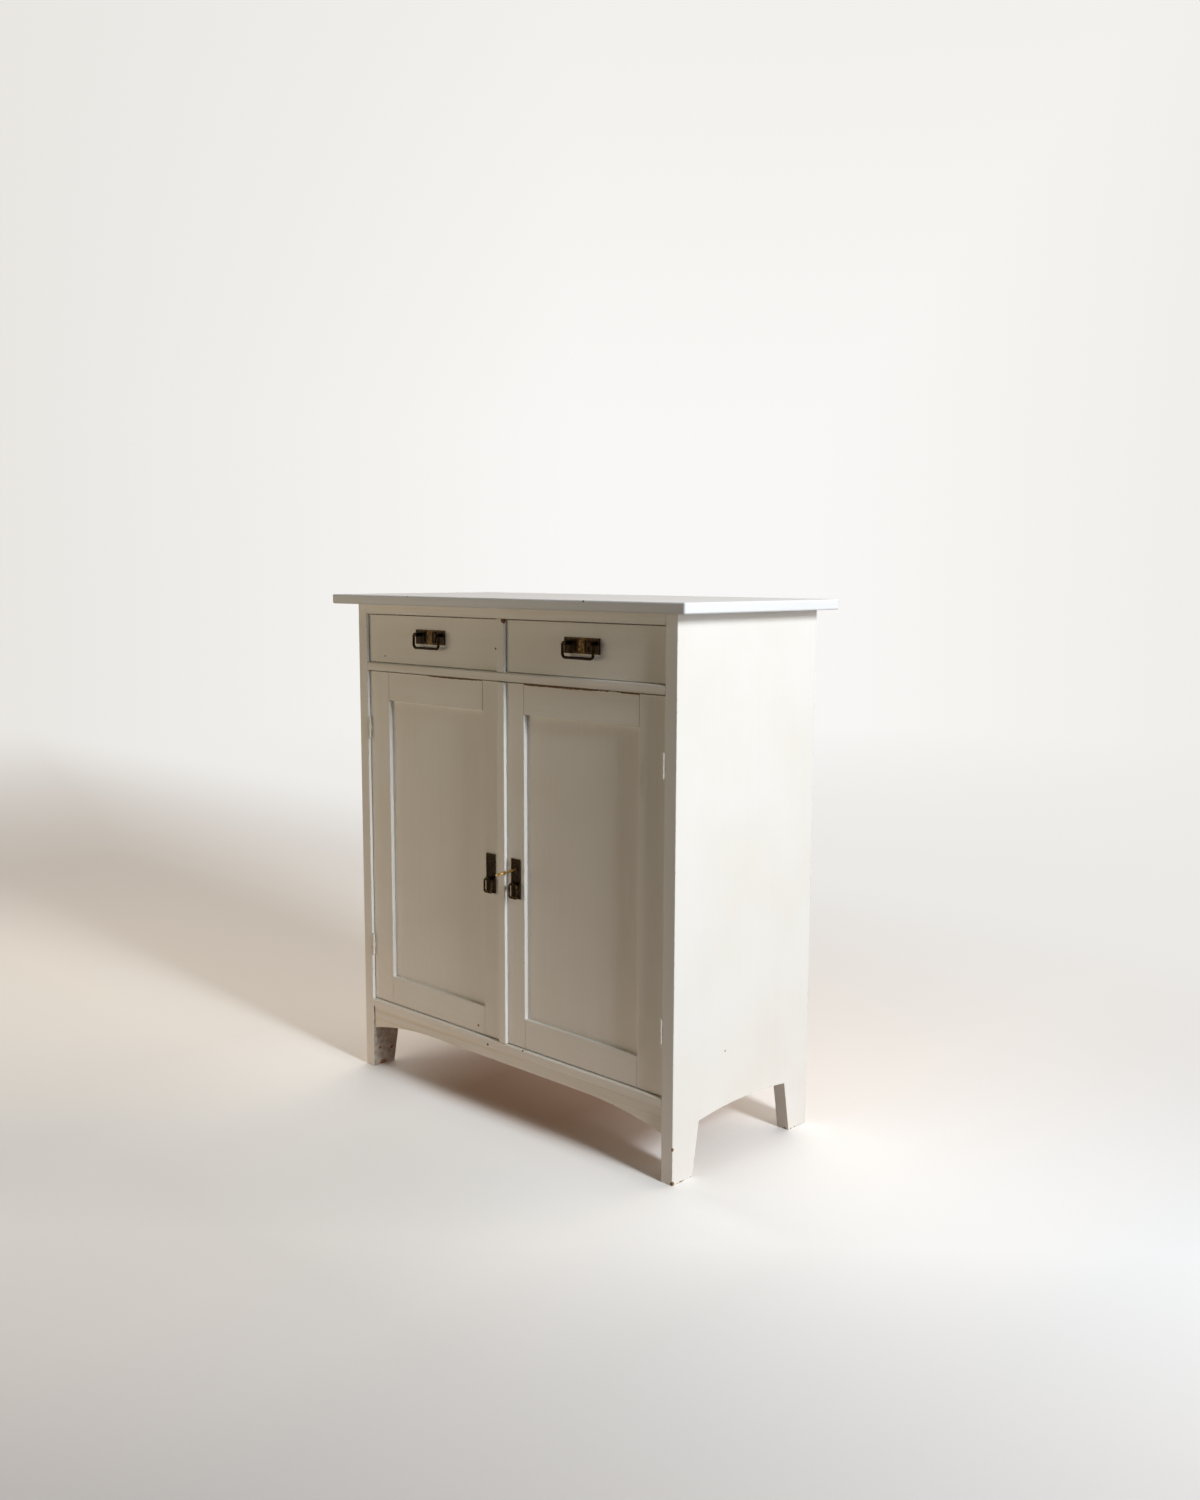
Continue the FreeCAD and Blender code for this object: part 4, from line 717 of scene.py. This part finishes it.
def floor_fade(tree, spread, away, seen):
    """How far the floor has faded into the backdrop."""
    far = add_node(tree, "MapRange", {"Value": away, "From Min": 2.8, "From Max": 9.0},
                   interpolation_type="SMOOTHSTEP").outputs[0]
    back = add_node(tree, "MapRange",
                    {"Value": spread.outputs[DEEP], "From Min": 0.4, "From Max": 2.5},
                    interpolation_type="SMOOTHSTEP").outputs[0]
    far = add_node(tree, "Math", {0: far, 1: back}, operation="MAXIMUM").outputs[0]
    fade = add_node(tree, "Math", {0: far, 1: seen}, operation="MULTIPLY").outputs[0]

    # Floor that the photograph leaves out of the frame fades sooner
    right = add_node(tree, "MapRange",
                     {"Value": spread.outputs[ALONG], "From Min": 1.8, "From Max": 4.0},
                     interpolation_type="SMOOTHSTEP").outputs[0]
    front = add_node(tree, "MapRange",
                     {"Value": spread.outputs[DEEP], "From Min": -1.5, "From Max": -3.5},
                     interpolation_type="SMOOTHSTEP").outputs[0]
    beyond = add_node(tree, "Math", {0: right, 1: front}, operation="MAXIMUM").outputs[0]
    beyond = add_node(tree, "Math", {0: beyond, 1: within(tree, spread, FAR_LEFT)},
                      operation="MAXIMUM").outputs[0]
    camera_ray = add_node(tree, "LightPath").outputs["Is Camera Ray"]
    beyond = add_node(tree, "Math", {0: beyond, 1: camera_ray}, operation="MULTIPLY").outputs[0]
    return add_node(tree, "Math", {0: fade, 1: beyond}, operation="MAXIMUM").outputs[0]


def pale_floor():
    """A pale studio floor that keeps the cupboard's shadow and fades into the backdrop far away."""
    finish, tree, shader, where = new_finish("pale_studio_floor")
    spread = add_node(tree, "SeparateXYZ", {0: where})
    seen = seen_directly(tree)
    colour = add_node(tree, "Mix", {0: seen, 6: floor_thrown(tree, where, spread),
                                    7: floor_as_seen(tree, where, spread)},
                      data_type="RGBA").outputs[2]
    fill(tree, shader, {"Base Color": colour, "Roughness": 0.6, "Specular IOR Level": 0.2})

    # Painted light: the strip before the cupboard glows for what sees it, as in a room whose pale
    # walls all light it
    painted_light = add_node(tree, "Math", {0: within(tree, spread, PAINTED_LIGHT_STRIP), 1: seen},
                    operation="MULTIPLY").outputs[0]
    painted_light = add_node(tree, "Math", {0: painted_light, 1: PAINTED_FLOOR_LIGHT}, operation="MULTIPLY").outputs[0]
    fill(tree, shader, {"Emission Color": linear(FLOOR), "Emission Strength": painted_light})

    away = add_node(tree, "VectorMath", {0: where}, operation="LENGTH").outputs["Value"]
    facing = add_node(tree, "VectorMath", {0: where, 1: CAMERA}, operation="SUBTRACT").outputs[0]
    facing = add_node(tree, "VectorMath", {0: facing}, operation="NORMALIZE").outputs[0]
    # The sweep is painted darker near its foot, as shade
    foot = add_node(tree, "MapRange", {"Value": away, "From Min": 8.0, "From Max": 3.0}).outputs[0]
    sweep = add_node(tree, "Mix", {0: foot, 6: backdrop(tree, facing), 7: linear(BACKDROP_SHADED_FOOT)},
                     data_type="RGBA").outputs[2]
    sweep = add_node(tree, "Emission", {"Color": sweep, "Strength": 1.0}).outputs[0]
    both = add_node(tree, "MixShader", {0: floor_fade(tree, spread, away, seen),
                                        1: shader.outputs[0], 2: sweep}).outputs[0]
    tree.links.new(both, tree.nodes["Material Output"].inputs["Surface"])

    shape = bmesh.new()
    bmesh.ops.create_grid(shape, x_segments=1, y_segments=1, size=30,
                          matrix=Matrix.Translation((0, 0, -0.0002)))
    floor = new_object("studio_floor", shape, finish)


def soft_lamp(name, place, aim, width, height, power, colour):
    """A soft lamp, in metres and watts, that the camera doesn't see."""
    lamp = bpy.data.lights.new(name, "AREA")
    lamp.shape = "RECTANGLE"
    lamp.size = width
    lamp.size_y = height
    lamp.energy = power
    lamp.color = colour
    holder = bpy.data.objects.new(name, lamp)
    place = Vector(place)
    turn = (Vector(aim) - place).to_track_quat("-Z", "Y")
    holder.matrix_world = Matrix.Translation(place) @ turn.to_matrix().to_4x4()
    holder.visible_camera = False
    bpy.context.collection.objects.link(holder)


def studio_light():
    """A lamp high on the right, a weak one below it, a warm glow on the left and a bright wall."""
    soft_lamp("right_lamp", place=(4.3, -0.42, 2.62), aim=(0.2, 0.0, 0.4), width=0.62, height=1.0,
              power=169, colour=COOL)
    soft_lamp("low_right_lamp", place=(4.3, -0.62, 1.3), aim=(0.2, 0.0, 0.6), width=0.3, height=0.8,
              power=28, colour=LOW_COOL)
    soft_lamp("left_glow", place=(-2.05, -2.2, 0.85), aim=(-0.2, -0.2, 0.6), width=1.9, height=1.3,
              power=19.6, colour=WARM)

    room = bpy.data.worlds.new("studio_room")
    bpy.context.scene.world = room
    room.use_nodes = True
    tree = room.node_tree
    facing = add_node(tree, "TexCoord").outputs["Generated"]
    towards_wall = add_node(tree, "VectorMath", {0: facing, 1: WALL},
                            operation="DOT_PRODUCT").outputs["Value"]
    ahead = add_node(tree, "Math", {0: towards_wall, 1: 0.0}, operation="MAXIMUM").outputs[0]
    level = add_node(tree, "Math", {0: ahead, 1: 2.0}, operation="POWER").outputs[0]
    level = add_node(tree, "Math", {0: level, 1: WALL_STRENGTH}, operation="MULTIPLY").outputs[0]
    lit = add_node(tree, "Background", {"Color": linear(WALL_LIGHT), "Strength": level}).outputs[0]

    # A gloss shows the room before the cupboard, which is dark
    shown = tree.nodes["Background"]
    ahead = add_node(tree, "SeparateXYZ", {0: facing}).outputs[DEEP]
    dark = add_node(tree, "MapRange", {"Value": ahead, "From Min": -0.35, "From Max": 0.05,
                                       "To Min": 0.15, "To Max": 1.0}).outputs[0]
    gloss = add_node(tree, "LightPath").outputs["Is Glossy Ray"]
    strength = add_node(tree, "Mix", {0: gloss, 2: 1.0, 3: dark}).outputs[0]
    fill(tree, shown, {"Color": backdrop(tree, facing), "Strength": strength})
    both = add_node(tree, "MixShader", {0: seen_directly(tree), 1: lit,
                                        2: shown.outputs[0]}).outputs[0]
    tree.links.new(both, tree.nodes["World Output"].inputs["Surface"])


def photo_camera():
    """The photograph's viewpoint, solved from the cupboard's own corners."""
    view = bpy.data.cameras.new("photo_camera")
    view.sensor_fit = "VERTICAL"
    view.sensor_height = PICTURE_HEIGHT
    view.lens = CAMERA_LENS
    holder = bpy.data.objects.new("photo_camera", view)
    holder.matrix_world = (Matrix.Translation(CAMERA) @ Matrix.Rotation(CAMERA_TURN, 4, "Z")
                           @ Matrix.Rotation(math.pi / 2 - CAMERA_DIP, 4, "X")
                           @ Matrix.Rotation(CAMERA_ROLL, 4, "Z"))
    bpy.context.collection.objects.link(holder)
    bpy.context.scene.camera = holder


dress_wood()
small_fastenings(*dress_metal())
pale_floor()
studio_light()
photo_camera()
bpy.context.scene.view_settings.view_transform = "Standard"
